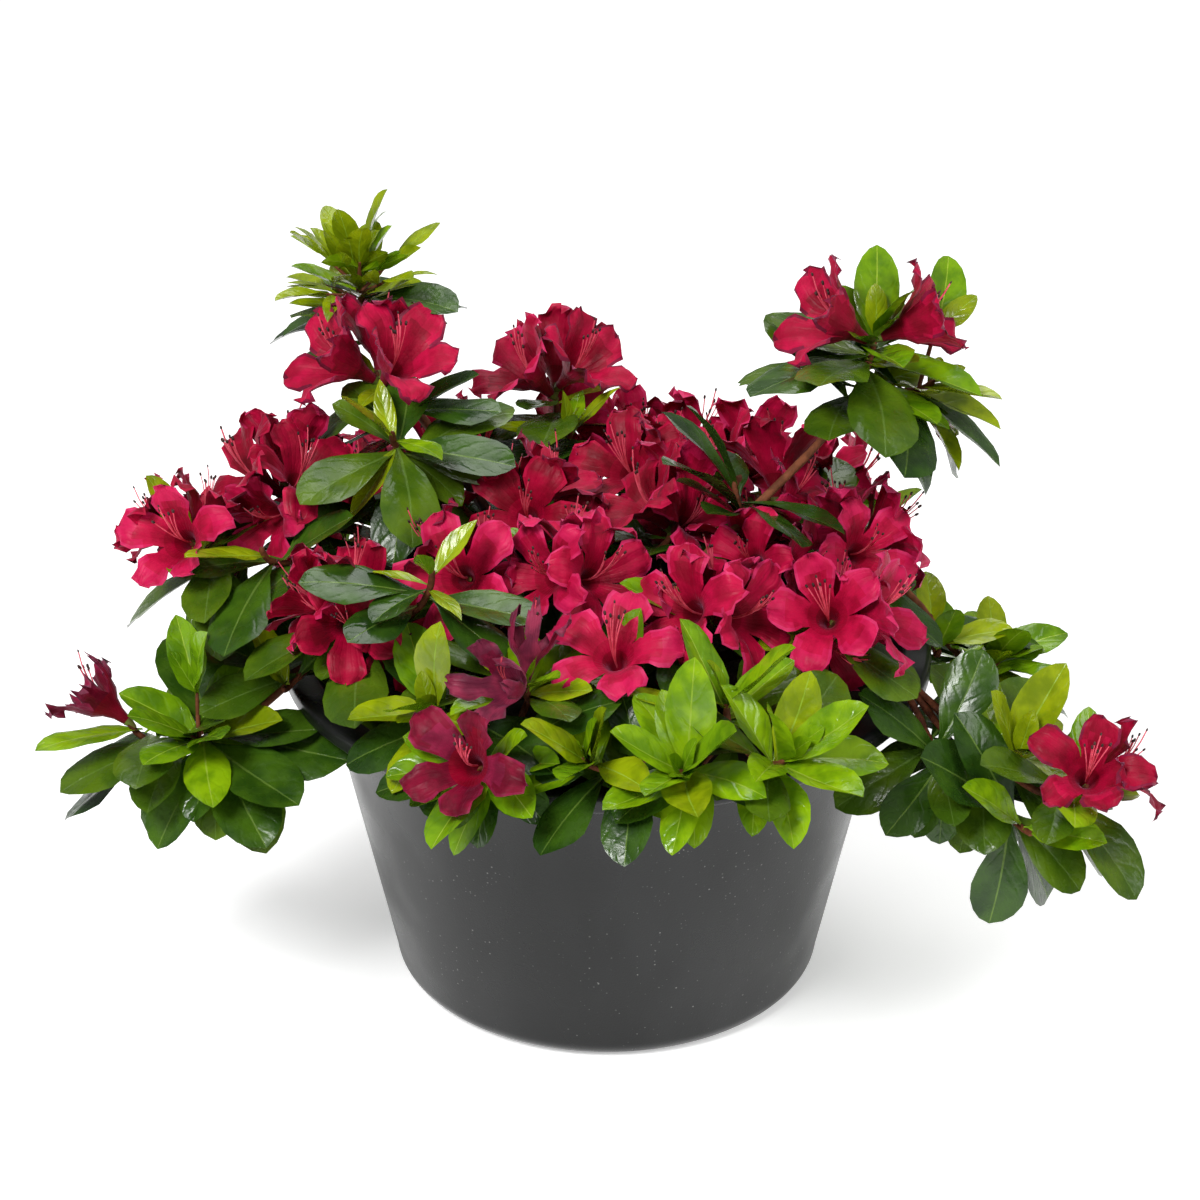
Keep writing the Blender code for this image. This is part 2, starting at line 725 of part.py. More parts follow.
def join(name, shapes, finish):
    """Makes one solid of a mass's twigs, leaves and flowers, by a union on a collection."""
    pieces = bpy.data.collections.new("pieces")
    bpy.context.scene.collection.children.link(pieces)
    base = mesh_object(name, *shapes[0], finish)
    for index, (verts, faces) in enumerate(shapes[1:]):
        piece = mesh_object(f"piece_{index}", verts, faces, finish)
        bpy.context.scene.collection.objects.unlink(piece)
        pieces.objects.link(piece)
    union = base.modifiers.new("union", "BOOLEAN")
    union.operation = "UNION"
    union.operand_type = "COLLECTION"
    union.collection = pieces
    union.solver = "EXACT"
    graph = bpy.context.evaluated_depsgraph_get()
    whole = bpy.data.meshes.new_from_object(base.evaluated_get(graph))
    base.modifiers.clear()
    base.data = whole
    for piece in list(pieces.objects):
        bpy.data.objects.remove(piece, do_unlink=True)
    bpy.data.collections.remove(pieces)
    outer_skin(whole)


def make_foliage(leaf_finish, bloom_finish):
    masses = {mass: grow_twigs(mass) for mass in MASSES}
    shapes = {mass: [shape for _, shape in grown] for mass, grown in masses.items()}
    for mass, grown in masses.items():
        for shoot, _ in grown:
            shapes[mass] += grow_flowers(shoot)
    for kind in (OLD_LEAF, YOUNG_LEAF):
        for mass, grown in masses.items():
            for shoot, _ in grown:
                shapes[mass] += grow_leaves(shoot, kind)
    for mass in MASSES:
        finish = bloom_finish if mass in BLOSSOM_MASSES else leaf_finish
        join("foliage_" + mass, shapes[mass], finish)


def main():
    clear_scene()
    plastic = material("pot_plastic", (0.045, 0.047, 0.048), 0.5)
    peat = material("compost", (0.020, 0.013, 0.009), 0.95)
    bark = material("bark", (0.150, 0.060, 0.035), 0.8)
    leaf = material("leaf", (0.060, 0.150, 0.020), 0.4)
    bloom = material("blossom", (0.520, 0.010, 0.045), 0.6)
    limbs = [make_pot(plastic), make_compost(peat), make_stem_foot(bark)]
    limbs += [make_bough(mass, bark) for mass in MASSES if MASSES[mass][0] is not None]
    for limb in limbs:
        mesh = limb.data
        verts = [vert.co.copy() for vert in mesh.vertices]
        remember(limb.name, verts, [tuple(face.vertices) for face in mesh.polygons])
    make_foliage(leaf, bloom)


main()
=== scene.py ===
import json
import math
import random
from functools import partial

import bmesh
import bpy
import numpy as np
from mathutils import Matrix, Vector, noise
from mathutils.bvhtree import BVHTree

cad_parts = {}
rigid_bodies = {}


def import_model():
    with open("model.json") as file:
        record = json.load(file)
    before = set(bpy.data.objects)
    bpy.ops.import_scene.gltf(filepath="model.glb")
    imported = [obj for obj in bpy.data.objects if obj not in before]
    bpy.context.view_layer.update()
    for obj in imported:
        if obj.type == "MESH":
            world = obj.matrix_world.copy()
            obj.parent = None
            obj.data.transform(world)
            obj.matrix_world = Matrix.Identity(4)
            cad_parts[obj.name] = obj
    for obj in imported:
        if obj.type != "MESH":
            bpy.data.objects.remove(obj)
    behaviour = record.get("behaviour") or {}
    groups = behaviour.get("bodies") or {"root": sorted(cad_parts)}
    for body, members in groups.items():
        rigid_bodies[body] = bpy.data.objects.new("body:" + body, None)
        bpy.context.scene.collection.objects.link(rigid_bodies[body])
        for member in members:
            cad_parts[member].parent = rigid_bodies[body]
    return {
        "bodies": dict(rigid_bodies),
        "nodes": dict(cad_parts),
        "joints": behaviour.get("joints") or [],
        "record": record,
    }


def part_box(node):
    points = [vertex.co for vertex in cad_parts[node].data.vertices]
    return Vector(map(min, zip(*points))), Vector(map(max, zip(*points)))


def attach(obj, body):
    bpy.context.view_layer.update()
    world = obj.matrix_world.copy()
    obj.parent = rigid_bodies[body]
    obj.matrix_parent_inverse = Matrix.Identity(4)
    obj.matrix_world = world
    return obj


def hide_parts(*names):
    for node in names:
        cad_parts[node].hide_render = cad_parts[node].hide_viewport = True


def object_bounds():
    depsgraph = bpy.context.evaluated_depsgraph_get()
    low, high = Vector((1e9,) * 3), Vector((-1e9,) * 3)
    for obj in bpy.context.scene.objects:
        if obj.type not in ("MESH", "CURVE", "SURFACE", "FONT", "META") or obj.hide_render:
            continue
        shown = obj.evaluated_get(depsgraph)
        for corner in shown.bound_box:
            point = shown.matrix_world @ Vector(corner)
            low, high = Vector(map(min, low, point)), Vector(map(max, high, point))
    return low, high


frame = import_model()
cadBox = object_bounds()
cadNodes = frame["nodes"]
mm = 0.001
upright = Vector((0, 0, 1))
print("frame loaded,", len(cadNodes), "nodes")


def mixed(low, high, share):
    return low + (high - low) * share


# camera, floor and light

studio = {
    "elevation": 26.0,  # degrees the camera looks down by
    "distance": 1.1,
    "aim": (-0.0026, 0.0, 0.148),
    "lens": 89.4,
    "nearest": 0.05,
    "floorSize": 12.0,
    "floorDrop": 0.3 * mm,
    "floorTone": (0.9, 0.9, 0.9, 1),
    "floorGlow": 0.42,  # a lit table, as under a product
    "skyTone": (1.0, 1.0, 1.0, 1),
    "skyStrength": 0.27,  # what lights the plant; the backdrop itself is plain white
    "softboxes": (  # place, side length, watts
        ((-0.70, -1.15, 1.55), 0.6, 33),
        ((1.10, -0.85, 1.05), 0.7, 8),
        ((0.10, 0.90, 1.70), 1.1, 14),
    ),
}


def setStudio():
    lean = math.radians(studio["elevation"])
    aim = Vector(studio["aim"])
    camera = bpy.data.objects.new("camera", bpy.data.cameras.new("camera"))
    camera.location = aim + Vector((0, -math.cos(lean), math.sin(lean))) * studio["distance"]
    camera.rotation_euler = (math.radians(90) - lean, 0, 0)
    camera.data.lens = studio["lens"]
    camera.data.clip_start = studio["nearest"]
    bpy.context.scene.collection.objects.link(camera)
    bpy.context.scene.camera = camera
    for number, (place, side, watts) in enumerate(studio["softboxes"]):
        lamp = bpy.data.lights.new(f"softbox{number}", "AREA")
        lamp.size = side
        lamp.energy = watts
        box = bpy.data.objects.new(f"softbox{number}", lamp)
        box.location = place
        box.rotation_euler = (aim - Vector(place)).to_track_quat("-Z", "Y").to_euler()
        bpy.context.scene.collection.objects.link(box)
    sky = bpy.data.worlds.new("sky")
    sky.use_nodes = True
    tree = sky.node_tree
    glow = tree.nodes["Background"]
    glow.inputs["Color"].default_value = studio["skyTone"]
    seen = tree.nodes.new("ShaderNodeLightPath").outputs["Is Camera Ray"]
    tree.links.new(spread(tree, seen, 0.0, 1.0, studio["skyStrength"], 1.0), glow.inputs["Strength"])
    bpy.context.scene.world = sky
    bpy.context.scene.view_settings.view_transform = "Standard"


def layFloor():
    sheet = bmesh.new()
    bmesh.ops.create_grid(sheet, x_segments=1, y_segments=1, size=studio["floorSize"] / 2)
    mesh = bpy.data.meshes.new("floor")
    bmesh.ops.translate(sheet, verts=sheet.verts, vec=(0, 0, -studio["floorDrop"]))
    sheet.to_mesh(mesh)
    sheet.free()
    paint, _ = newFinish("floorPaint", {
        "Base Color": studio["floorTone"], "Roughness": 0.9,
        "Emission Color": studio["skyTone"], "Emission Strength": studio["floorGlow"],
    })
    mesh.materials.append(paint)
    floor = bpy.data.objects.new("floor", mesh)
    bpy.context.scene.collection.objects.link(floor)


# finishes: a few node groups that several finishes share, then the finishes


def newFinish(name, values):
    made = bpy.data.materials.new(name)
    made.use_nodes = True
    shader = made.node_tree.nodes["Principled BSDF"]
    for socket, value in values.items():
        shader.inputs[socket].default_value = value
    return made, shader


def newGroup(name, inputs, output, kind):
    group = bpy.data.node_groups.new(name, "ShaderNodeTree")
    for label, value in inputs.items():
        isColour = isinstance(value, tuple)
        socket = group.interface.new_socket(
            label, in_out="INPUT",
            socket_type="NodeSocketColor" if isColour else "NodeSocketFloat",
        )
        socket.default_value = value
    group.interface.new_socket(output, in_out="OUTPUT", socket_type=kind)
    given = group.nodes.new("NodeGroupInput").outputs
    return group, given, group.nodes.new("NodeGroupOutput").inputs[0]


def plug(tree, value, socket):
    if isinstance(value, bpy.types.NodeSocket):
        tree.links.new(value, socket)
    else:
        socket.default_value = value


def calc(tree, operation, first, second=0.0):
    node = tree.nodes.new("ShaderNodeMath")
    node.operation = operation
    plug(tree, first, node.inputs[0])
    plug(tree, second, node.inputs[1])
    return node.outputs[0]


def spread(tree, value, low, high, toLow=0.0, toHigh=1.0):
    node = tree.nodes.new("ShaderNodeMapRange")
    node.interpolation_type = "SMOOTHSTEP"
    for label, number in (("Value", value), ("From Min", low), ("From Max", high),
                          ("To Min", toLow), ("To Max", toHigh)):
        plug(tree, number, node.inputs[label])
    return node.outputs["Result"]


def clouds(tree, scale, detail=2.0, stretch=None):
    place = tree.nodes.new("ShaderNodeTexCoord").outputs["Object"]
    if stretch:
        turn = tree.nodes.new("ShaderNodeMapping")
        turn.inputs["Scale"].default_value = stretch
        tree.links.new(place, turn.inputs["Vector"])
        place = turn.outputs["Vector"]
    node = tree.nodes.new("ShaderNodeTexNoise")
    node.inputs["Detail"].default_value = detail
    tree.links.new(place, node.inputs["Vector"])
    plug(tree, scale, node.inputs["Scale"])
    return node.outputs["Fac"]


def blended(tree, share, first, second):
    node = tree.nodes.new("ShaderNodeMix")
    node.data_type = "RGBA"
    for label, value in (("Factor", share), ("A", first), ("B", second)):
        plug(tree, value, node.inputs[label])
    return node.outputs["Result"]


def raised(tree, height):
    node = tree.nodes.new("ShaderNodeBump")
    node.inputs["Distance"].default_value = 1.0
    tree.links.new(height, node.inputs["Height"])
    return node.outputs["Normal"]


def makeToneDrift():
    group, given, out = newGroup(
        "toneDrift", {"Light": (1, 1, 1, 1), "Dark": (0, 0, 0, 1), "Scale": 60.0},
        "Color", "NodeSocketColor",
    )
    share = spread(group, clouds(group, given["Scale"], 3.0), 0.34, 0.66)
    group.links.new(blended(group, share, given["Dark"], given["Light"]), out)
    return group


def makeGlossDrift():
    group, given, out = newGroup(
        "glossDrift", {"Low": 0.3, "High": 0.5, "Scale": 200.0}, "Roughness", "NodeSocketFloat",
    )
    cloud = clouds(group, given["Scale"])
    group.links.new(spread(group, cloud, 0.35, 0.65, given["Low"], given["High"]), out)
    return group


def makeGrain():
    group, given, out = newGroup(
        "grain", {"Scale": 900.0, "Depth": 0.00004}, "Normal", "NodeSocketVector",
    )
    cloud = clouds(group, given["Scale"], 4.0)
    group.links.new(raised(group, calc(group, "MULTIPLY", cloud, given["Depth"])), out)
    return group


def makeVeins():
    # ribs that leave the middle of a blade on a slant, read from its own flat map
    group, given, out = newGroup(
        "veins", {"Pairs": 7.0, "Slant": 2.5, "Depth": 0.00012, "Pucker": 0.00006},
        "Normal", "NodeSocketVector",
    )
    spot = group.nodes.new("ShaderNodeTexCoord").outputs["UV"]
    parts = group.nodes.new("ShaderNodeSeparateXYZ")
    group.links.new(spot, parts.inputs["Vector"])
    side = calc(group, "ABSOLUTE", calc(group, "SUBTRACT", parts.outputs["X"], 0.5))
    side = calc(group, "MULTIPLY", side, 2.0)
    wander = calc(group, "MULTIPLY", clouds(group, 260.0), 0.5)
    along = calc(group, "MULTIPLY", parts.outputs["Y"], given["Pairs"])
    slanted = calc(group, "SUBTRACT", along, calc(group, "MULTIPLY", side, given["Slant"]))
    turns = calc(group, "MULTIPLY", calc(group, "ADD", slanted, wander), math.tau)
    wave = calc(group, "ADD", calc(group, "MULTIPLY", calc(group, "SINE", turns), 0.5), 0.5)
    crease = calc(group, "POWER", wave, 5.0)
    margin = spread(group, side, 1.0, 0.75)
    valley = calc(group, "MULTIPLY", calc(group, "MULTIPLY", crease, margin), -1.0)
    depth = calc(group, "MULTIPLY", valley, given["Depth"])
    pucker = calc(group, "MULTIPLY", clouds(group, 420.0, 3.0), given["Pucker"])
    group.links.new(raised(group, calc(group, "ADD", depth, pucker)), out)
    return group


groups = {
    "tone": makeToneDrift(),
    "gloss": makeGlossDrift(),
    "grain": makeGrain(),
    "veins": makeVeins(),
}


def dress(made, shader, kind, values, socket):
    node = made.node_tree.nodes.new("ShaderNodeGroup")
    node.node_tree = groups[kind]
    for label, value in values.items():
        node.inputs[label].default_value = value
    made.node_tree.links.new(node.outputs[0], shader.inputs[socket])
    return node.outputs[0]


def plantFinish(name, light, dark, look):
    # colour that drifts between two near tones, and a gloss and relief of its own
    plain = {"Roughness": 0.5, "Specular IOR Level": look.get("specular", 0.5)}
    plain.update(look.get("set", {}))
    made, shader = newFinish(name, plain)
    tones = {"Light": (*light, 1), "Dark": (*dark, 1), "Scale": look["drift"]}
    dress(made, shader, "tone", tones, "Base Color")
    low, high = look["rough"]
    dress(made, shader, "gloss", {"Low": low, "High": high, "Scale": 180.0}, "Roughness")
    relief = "veins" if "Pairs" in look["relief"] else "grain"
    dress(made, shader, relief, look["relief"], "Normal")
    return made


looks = {
    "oldLeaf": {
        "drift": 70.0, "rough": (0.18, 0.32), "specular": 0.36,
        "relief": {"Pairs": 6.0, "Slant": 2.2, "Depth": 0.00007, "Pucker": 0.00016},
    },
    "youngLeaf": {
        "drift": 110.0, "rough": (0.12, 0.25), "specular": 0.36,
        "relief": {"Pairs": 6.0, "Slant": 2.0, "Depth": 0.00009, "Pucker": 0.00013},
        "set": {"Subsurface Weight": 0.1, "Subsurface Radius": (0.3, 0.6, 0.05),
                "Subsurface Scale": 0.001},
    },
    "petal": {
        "drift": 140.0, "rough": (0.42, 0.58), "specular": 0.14,
        "relief": {"Pairs": 0.0, "Slant": 3.4, "Depth": 0.00007, "Pucker": 0.00024},
        "set": {"Sheen Weight": 0.24, "Sheen Roughness": 0.32, "Sheen Tint": (1.0, 0.35, 0.6, 1)},
    },
    "stem": {
        "drift": 240.0, "rough": (0.55, 0.75), "specular": 0.14,
        "relief": {"Scale": 1100.0, "Depth": 0.00025},
    },
    "soft": {
        "drift": 300.0, "rough": (0.5, 0.65), "specular": 0.35,
        "relief": {"Scale": 1500.0, "Depth": 0.00005},
    },
    "peat": {
        "drift": 160.0, "rough": (0.85, 0.98), "specular": 0.2,
        "relief": {"Scale": 700.0, "Depth": 0.0006},
    },
}

tones = {  # name: look, lighter tone, darker tone
    "leafDark": ("oldLeaf", (0.034, 0.085, 0.006), (0.012, 0.038, 0.004)),
    "leafDeep": ("oldLeaf", (0.050, 0.114, 0.006), (0.020, 0.058, 0.004)),
    "leafMoss": ("oldLeaf", (0.084, 0.150, 0.006), (0.039, 0.087, 0.004)),
    "leafRib": ("oldLeaf", (0.120, 0.200, 0.030), (0.075, 0.140, 0.020)),
    "limeBright": ("youngLeaf", (0.235, 0.392, 0.004), (0.112, 0.230, 0.003)),
    "limeMid": ("youngLeaf", (0.165, 0.314, 0.004), (0.080, 0.182, 0.003)),
    "limeGold": ("youngLeaf", (0.286, 0.363, 0.004), (0.160, 0.226, 0.003)),
    "limeRib": ("youngLeaf", (0.320, 0.460, 0.040), (0.230, 0.360, 0.020)),
    "petalFresh": ("petal", (0.490, 0.004, 0.050), (0.310, 0.002, 0.026)),
    "petalBright": ("petal", (0.560, 0.010, 0.080), (0.410, 0.004, 0.046)),
    "petalDeep": ("petal", (0.340, 0.001, 0.028), (0.200, 0.001, 0.014)),
    "petalFading": ("petal", (0.240, 0.009, 0.044), (0.125, 0.004, 0.022)),
    "petalWithered": ("petal", (0.260, 0.022, 0.060), (0.110, 0.010, 0.030)),
    # the paler rose of a fresh lobe's rim: partly the petal's own edge colour, partly a painted sheen along
    # the edge
    "rimRoseSheen": ("petal", (0.620, 0.030, 0.130), (0.470, 0.012, 0.078)),
    "rimWorn": ("petal", (0.200, 0.030, 0.062), (0.085, 0.014, 0.030)),
    "petalRuby": ("petal", (0.190, 0.002, 0.022), (0.100, 0.001, 0.011)),
    # the throat tone: the tube's deeper crimson, darkened further as painted shade inside the funnel
    "petalThroatShade": ("petal", (0.260, 0.001, 0.018), (0.150, 0.001, 0.009)),
    "petalBlotch": ("petal", (0.370, 0.002, 0.032), (0.230, 0.001, 0.016)),
    "filament": ("soft", (0.800, 0.110, 0.170), (0.640, 0.050, 0.090)),
    "anther": ("soft", (0.060, 0.018, 0.014), (0.024, 0.008, 0.008)),
    "sepal": ("soft", (0.150, 0.210, 0.030), (0.110, 0.090, 0.022)),
    "twigRed": ("stem", (0.165, 0.048, 0.021), (0.070, 0.020, 0.010)),
    "twigPink": ("stem", (0.230, 0.075, 0.034), (0.120, 0.040, 0.018)),
    "bark": ("stem", (0.060, 0.013, 0.006), (0.016, 0.005, 0.003)),
    "peat": ("peat", (0.030, 0.018, 0.011), (0.010, 0.006, 0.004)),
    "fibre": ("peat", (0.080, 0.045, 0.024), (0.030, 0.016, 0.009)),
}
finishes = {
    name: plantFinish(name, light, dark, looks[look])
    for name, (look, light, dark) in tones.items()
}
setStudio()
layFloor()
print("studio and", len(finishes), "finishes ready")


# pieces


def addPiece(name, mesh, replaced):
    piece = bpy.data.objects.new(name, mesh)
    bpy.context.scene.collection.objects.link(piece)
    mesh.shade_smooth()
    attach(piece, "root")
    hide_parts(*replaced)


def turned(profile, steps):
    # a closed body from (radius, height) pairs, spun once round Z
    shape = bmesh.new()
    corners = [shape.verts.new((radius, 0, height)) for radius, height in profile]
    edges = [shape.edges.new(pair) for pair in zip(corners, corners[1:])]
    bmesh.ops.spin(
        shape, geom=corners + edges, cent=(0, 0, 0), axis=(0, 0, 1),
        angle=math.tau, steps=steps, use_merge=True,
    )
    bmesh.ops.remove_doubles(shape, verts=shape.verts, dist=1e-6)
    bmesh.ops.recalc_face_normals(shape, faces=shape.faces)
    return shape


def arc(centre, radius, start, end, steps):
    # points on a rounding, in (radius, height)
    spots = []
    for step in range(steps + 1):
        turn = math.radians(mixed(start, end, step / steps))
        spots.append((centre[0] + radius * math.cos(turn), centre[1] + radius * math.sin(turn)))
    return spots


# pot

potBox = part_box("pot")
pot = {
    "height": potBox[1].z,
    "rimRadius": potBox[1].x,
    "rimInside": potBox[1].x - 11.0 * mm,
    "rimDepth": 7.5 * mm,
    "wallTop": potBox[1].x - 14.0 * mm,
    "wallFoot": potBox[1].x - 38.5 * mm,
    "wall": 2.0 * mm,
    "taper": 4.0 * mm,  # how much more the inside narrows than the outside
    "floor": 4.0 * mm,
    "heel": 8.0 * mm,
    "lip": 1.2 * mm,  # the thin moulded edge round the foot
    "bead": 1.6 * mm,  # rounding between the wall and the rim
    "rimUnder": 2.2 * mm,
    "rimOver": 2.4 * mm,
    "rimIn": 1.8 * mm,
    "sharpFrom": 50,  # degrees
    "steps": 160,
}


def makePot():
    top, under = pot["height"], pot["height"] - pot["rimDepth"]
    rim, wallTop, wallFoot = pot["rimRadius"], pot["wallTop"], pot["wallFoot"]
    heel, lip, bead = pot["heel"], pot["lip"], pot["bead"]
    below, over, within = pot["rimUnder"], pot["rimOver"], pot["rimIn"]

    def wallAt(height):
        return mixed(wallFoot, wallTop, (height - heel) / (under - heel))

    profile = [(0, 0), (wallFoot * 0.55, 0), (wallFoot - heel, 0)]
    profile += [(wallFoot - heel + lip, 0.0)]
    profile += arc((wallFoot - heel, heel), heel, -72, 0, 8)
    for share in (0.15, 0.35, 0.55, 0.72):
        height = mixed(heel, under, share)
        profile.append((wallAt(height), height))
    profile.append((wallAt(under - 3 * mm), under - 3 * mm))
    profile += arc((wallTop + bead, under - bead), bead, 180, 90, 4)
    profile += arc((rim - below, under + below), below, -90, 0, 5)
    profile += arc((rim - over, top - over), over, 0, 90, 6)
    profile += [((rim + pot["rimInside"]) / 2, top)]
    profile += arc((pot["rimInside"] + within, top - within), within, 90, 165, 4)
    inside = wallTop - pot["wall"]
    profile += [(inside + 1.0 * mm, under + 1.0 * mm), (inside, under - 1.0 * mm)]
    innerFoot = wallFoot - pot["wall"] - pot["taper"]
    for share in (0.3, 0.6):
        height = mixed(under, pot["floor"], share)
        profile.append((mixed(inside, innerFoot, share), height))
    profile += [(innerFoot + 1 * mm, pot["floor"] + 2 * mm), (innerFoot - 1 * mm, pot["floor"])]
    profile += [(innerFoot * 0.5, pot["floor"]), (0, pot["floor"])]
    shape = turned(profile, pot["steps"])
    mesh = bpy.data.meshes.new("potShell")
    shape.to_mesh(mesh)
    shape.free()
    mesh.materials.append(potPlastic())
    addPiece("potShell", mesh, ["pot"])
    mesh.set_sharp_from_angle(angle=math.radians(pot["sharpFrom"]))


plastic = {
    "tone": (0.005, 0.0053, 0.0056, 1),
    "worn": (0.012, 0.0125, 0.013, 1),
    "speck": (0.18, 0.18, 0.17, 1),
    "rough": (0.24, 0.38),
    "glossDrift": 26.0,
    "grain": {"Scale": 1400.0, "Depth": 0.00005},
    "streaks": 30.0,
    "specks": 640.0,
    "speckPatches": 26.0,
    "speckSize": 0.21,
    "speckShare": 0.9,
}


def potPlastic():
    made, shader = newFinish("potPlastic", {"Specular IOR Level": 0.36})
    tree = made.node_tree
    low, high = plastic["rough"]
    dress(made, shader, "gloss", {"Low": low, "High": high, "Scale": plastic["glossDrift"]}, "Roughness")
    dress(made, shader, "grain", plastic["grain"], "Normal")
    streaks = clouds(tree, plastic["streaks"], 3.0, stretch=(1.0, 1.0, 0.25))
    base = blended(tree, spread(tree, streaks, 0.42, 0.72), plastic["tone"], plastic["worn"])
    cells = tree.nodes.new("ShaderNodeTexVoronoi")  # small pale specks of dust and grit
    cells.inputs["Scale"].default_value = plastic["specks"]
    place = tree.nodes.new("ShaderNodeTexCoord").outputs["Object"]
    tree.links.new(place, cells.inputs["Vector"])
    tint = tree.nodes.new("ShaderNodeSeparateColor")
    tree.links.new(cells.outputs["Color"], tint.inputs["Color"])
    size = spread(tree, tint.outputs["Red"], 0.45, 1.0, 0.0, plastic["speckSize"])
    near = calc(tree, "LESS_THAN", cells.outputs["Distance"], size)
    patch = spread(tree, clouds(tree, plastic["speckPatches"], 3.0), 0.42, 0.60)
    speck = calc(tree, "MULTIPLY", calc(tree, "MULTIPLY", near, patch), tint.outputs["Green"])
    final = blended(tree, calc(tree, "MULTIPLY", speck, plastic["speckShare"]), base, plastic["speck"])
    tree.links.new(final, shader.inputs["Base Color"])
    return made


makePot()
print("pot made")


# growth: the same rule as the solids, so that what is drawn stands where they stand

growth = {
    "gap": 0.3 * mm,
    "clearance": 0.5 * mm,
    "footBottom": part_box("stem_foot")[0].z,
    "footTop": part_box("stem_foot")[1].z,
    "footFlare": 11.0 * mm,
    "footWaist": 7.8 * mm,
    "footTip": 6.0 * mm,
    "footLean": Vector((2.0, -1.5, 0)) * mm,
    "flareFade": 9,
    "boughLevels": (125.0 * mm, 133.5 * mm, 142.0 * mm),
    "boughRoot": 2.6 * mm,
    "boughTip": 1.8 * mm,
    "twigRoot": 2.0 * mm,
    "twigFork": 1.7 * mm,
    "twigTip": 1.8 * mm,
    "twigSway": 0.1,
    "goldenAngle": 137.5,
}

masses = {  # bough (turn, level), bough end, shoots: tip, axis, flowers, young leaves, old leaves
    "dome_front": (None, None, [
        ((24, -12, 184), (0, 5), (3, 60, 42), 0, 1),
        ((36, -66, 173), (275, 28), (3, 200, 42), 2, 3),
        ((58, -36, 180), (300, 16), (3, 100, 42), 0, 1),
        ((4, -82, 158), (255, 42), (1, 90, 10), 2, 1),
    ]),
    "dome_left": ((240, 2), (-13, -22, 157), [
        ((-12, -46, 180), (255, 18), (3, 80, 42), 1, 1),
        ((-28, -2, 184), (140, 10), (3, 20, 42), 0, 1),
        ((-50, -38, 176), (215, 25), (3, 150, 42), 2, 2),
    ]),
    "dome_right": ((340, 1), (50, -18, 155), [
        ((80, -58, 168), (320, 28), (3, 350, 42), 3, 3),
        ((88, -10, 174), (0, 28), (3, 30, 42), 2, 2),
        ((62, 8, 184), (10, 10), (3, 100, 42), 0, 1),
    ]),
    "dome_back": ((50, 2), (20, 24, 158), [
        ((12, 34, 183), (90, 10), (3, 0, 42), 0, 1),
        ((54, 48, 178), (60, 18), (3, 80, 42), 1, 1),
        ((26, 76, 170), (90, 28), (3, 30, 42), 1, 2),
    ]),
    "upper_back": ((101, 2), (-12, 40, 165), [
        ((-20, 84, 199), (95, 12), (3, 330, 45), 2, 2),
        ((-14, 62, 190), (270, 25), (0, 0, 0), 6, 6),
    ]),
    "upper_left": ((186, 2), (-48, 4, 178), [
        ((-77, -4, 216), (275, 38), (0, 0, 0), 4, 9),
        ((-84, 28, 226), (150, 10), (3, 80, 46), 3, 3),
    ]),
    "crest_left": ((146, 2), (-60, 44, 188), [
        ((-93, 60, 252), (190, 6), (0, 0, 0), 18, 6),
    ]),
    "far_left": ((188, 1), (-84, -8, 166), [
        ((-118, 2, 192), (150, 15), (3, 80, 44), 2, 3),
        ((-150, -20, 182), (200, 22), (3, 20, 42), 3, 4),
        ((-122, -34, 184), (240, 22), (0, 0, 0), 1, 3),
    ]),
    "mid_left": ((226, 1), (-56, -44, 150), [
        ((-94, -56, 171), (205, 18), (4, 40, 44), 2, 5),
        ((-60, -70, 193), (260, 6), (0, 0, 0), 4, 1),
    ]),
    "crest_right": ((318, 2), (33, -30, 178), [
        ((95, 0, 252), (330, 8), (2, 5, 60), 8, 8),
        ((46, -28, 209), (30, 45), (0, 0, 0), 0, 6),
        ((116, 5, 232), (0, 48), (0, 0, 0), 5, 4),
    ]),
    "front_left": ((266, 1), (-24, -66, 146), [
        ((-28, -98, 164), (240, 15), (2, 60, 40), 5, 2),
        ((-42, -122, 145), (235, 62), (1, 0, 12), 7, 2),
        ((-60, -98, 154), (220, 35), (0, 0, 0), 6, 5),
    ]),
    "rim_front": ((285, 0), (36, -92, 148), [
        ((58, -124, 149), (310, 42), (0, 0, 0), 9, 2),
        ((24, -128, 147), (250, 46), (0, 0, 0), 9, 1),
        ((40, -106, 160), (285, 12), (0, 0, 0), 6, 0),
        ((-8, -120, 147), (235, 40), (0, 0, 0), 6, 1),
    ]),
    "low_left": ((199, 0), (-86, -32, 150), [
        ((-148, -55, 120), (250, 34), (0, 0, 0), 11, 7),
        ((-172, -44, 120), (175, 28), (1, 150, 30), 3, 4),
        ((-115, -50, 137), (285, 50), (0, 0, 0), 1, 4),
    ]),
    "low_right": ((326, 0), (86, -42, 150), [
        ((146, -64, 118), (288, 30), (0, 0, 0), 7, 8),
        ((168, -80, 114), (325, 36), (2, 210, 34), 4, 3),
        ((121, -76, 120), (285, 45), (0, 0, 0), 0, 5),
        ((148, -86, 99), (285, 72), (0, 0, 0), 2, 3),
    ]),
    "side_right": ((5, 0), (94, 12, 157), [
        ((148, 14, 116), (10, 22), (0, 0, 0), 9, 6),
        ((124, 4, 124), (320, 18), (0, 0, 0), 3, 1),
    ]),
    "back_left": ((132, 0), (-58, 60, 145), [
        ((-94, 92, 150), (135, 25), (3, 30, 44), 2, 3),
        ((-104, 52, 150), (165, 35), (0, 0, 0), 4, 4),
        ((-56, 62, 172), (120, 15), (3, 0, 44), 0, 2),
    ]),
    "back_middle": ((88, 1), (2, 72, 144), [
        ((8, 124, 150), (85, 35), (3, 60, 44), 2, 3),
        ((-40, 118, 146), (110, 30), (0, 0, 0), 5, 3),
    ]),
    "back_right": ((45, 0), (52, 48, 142), [
        ((84, 84, 152), (50, 25), (3, 0, 44), 2, 3),
        ((98, 62, 150), (30, 35), (0, 0, 0), 5, 3),
    ]),
}
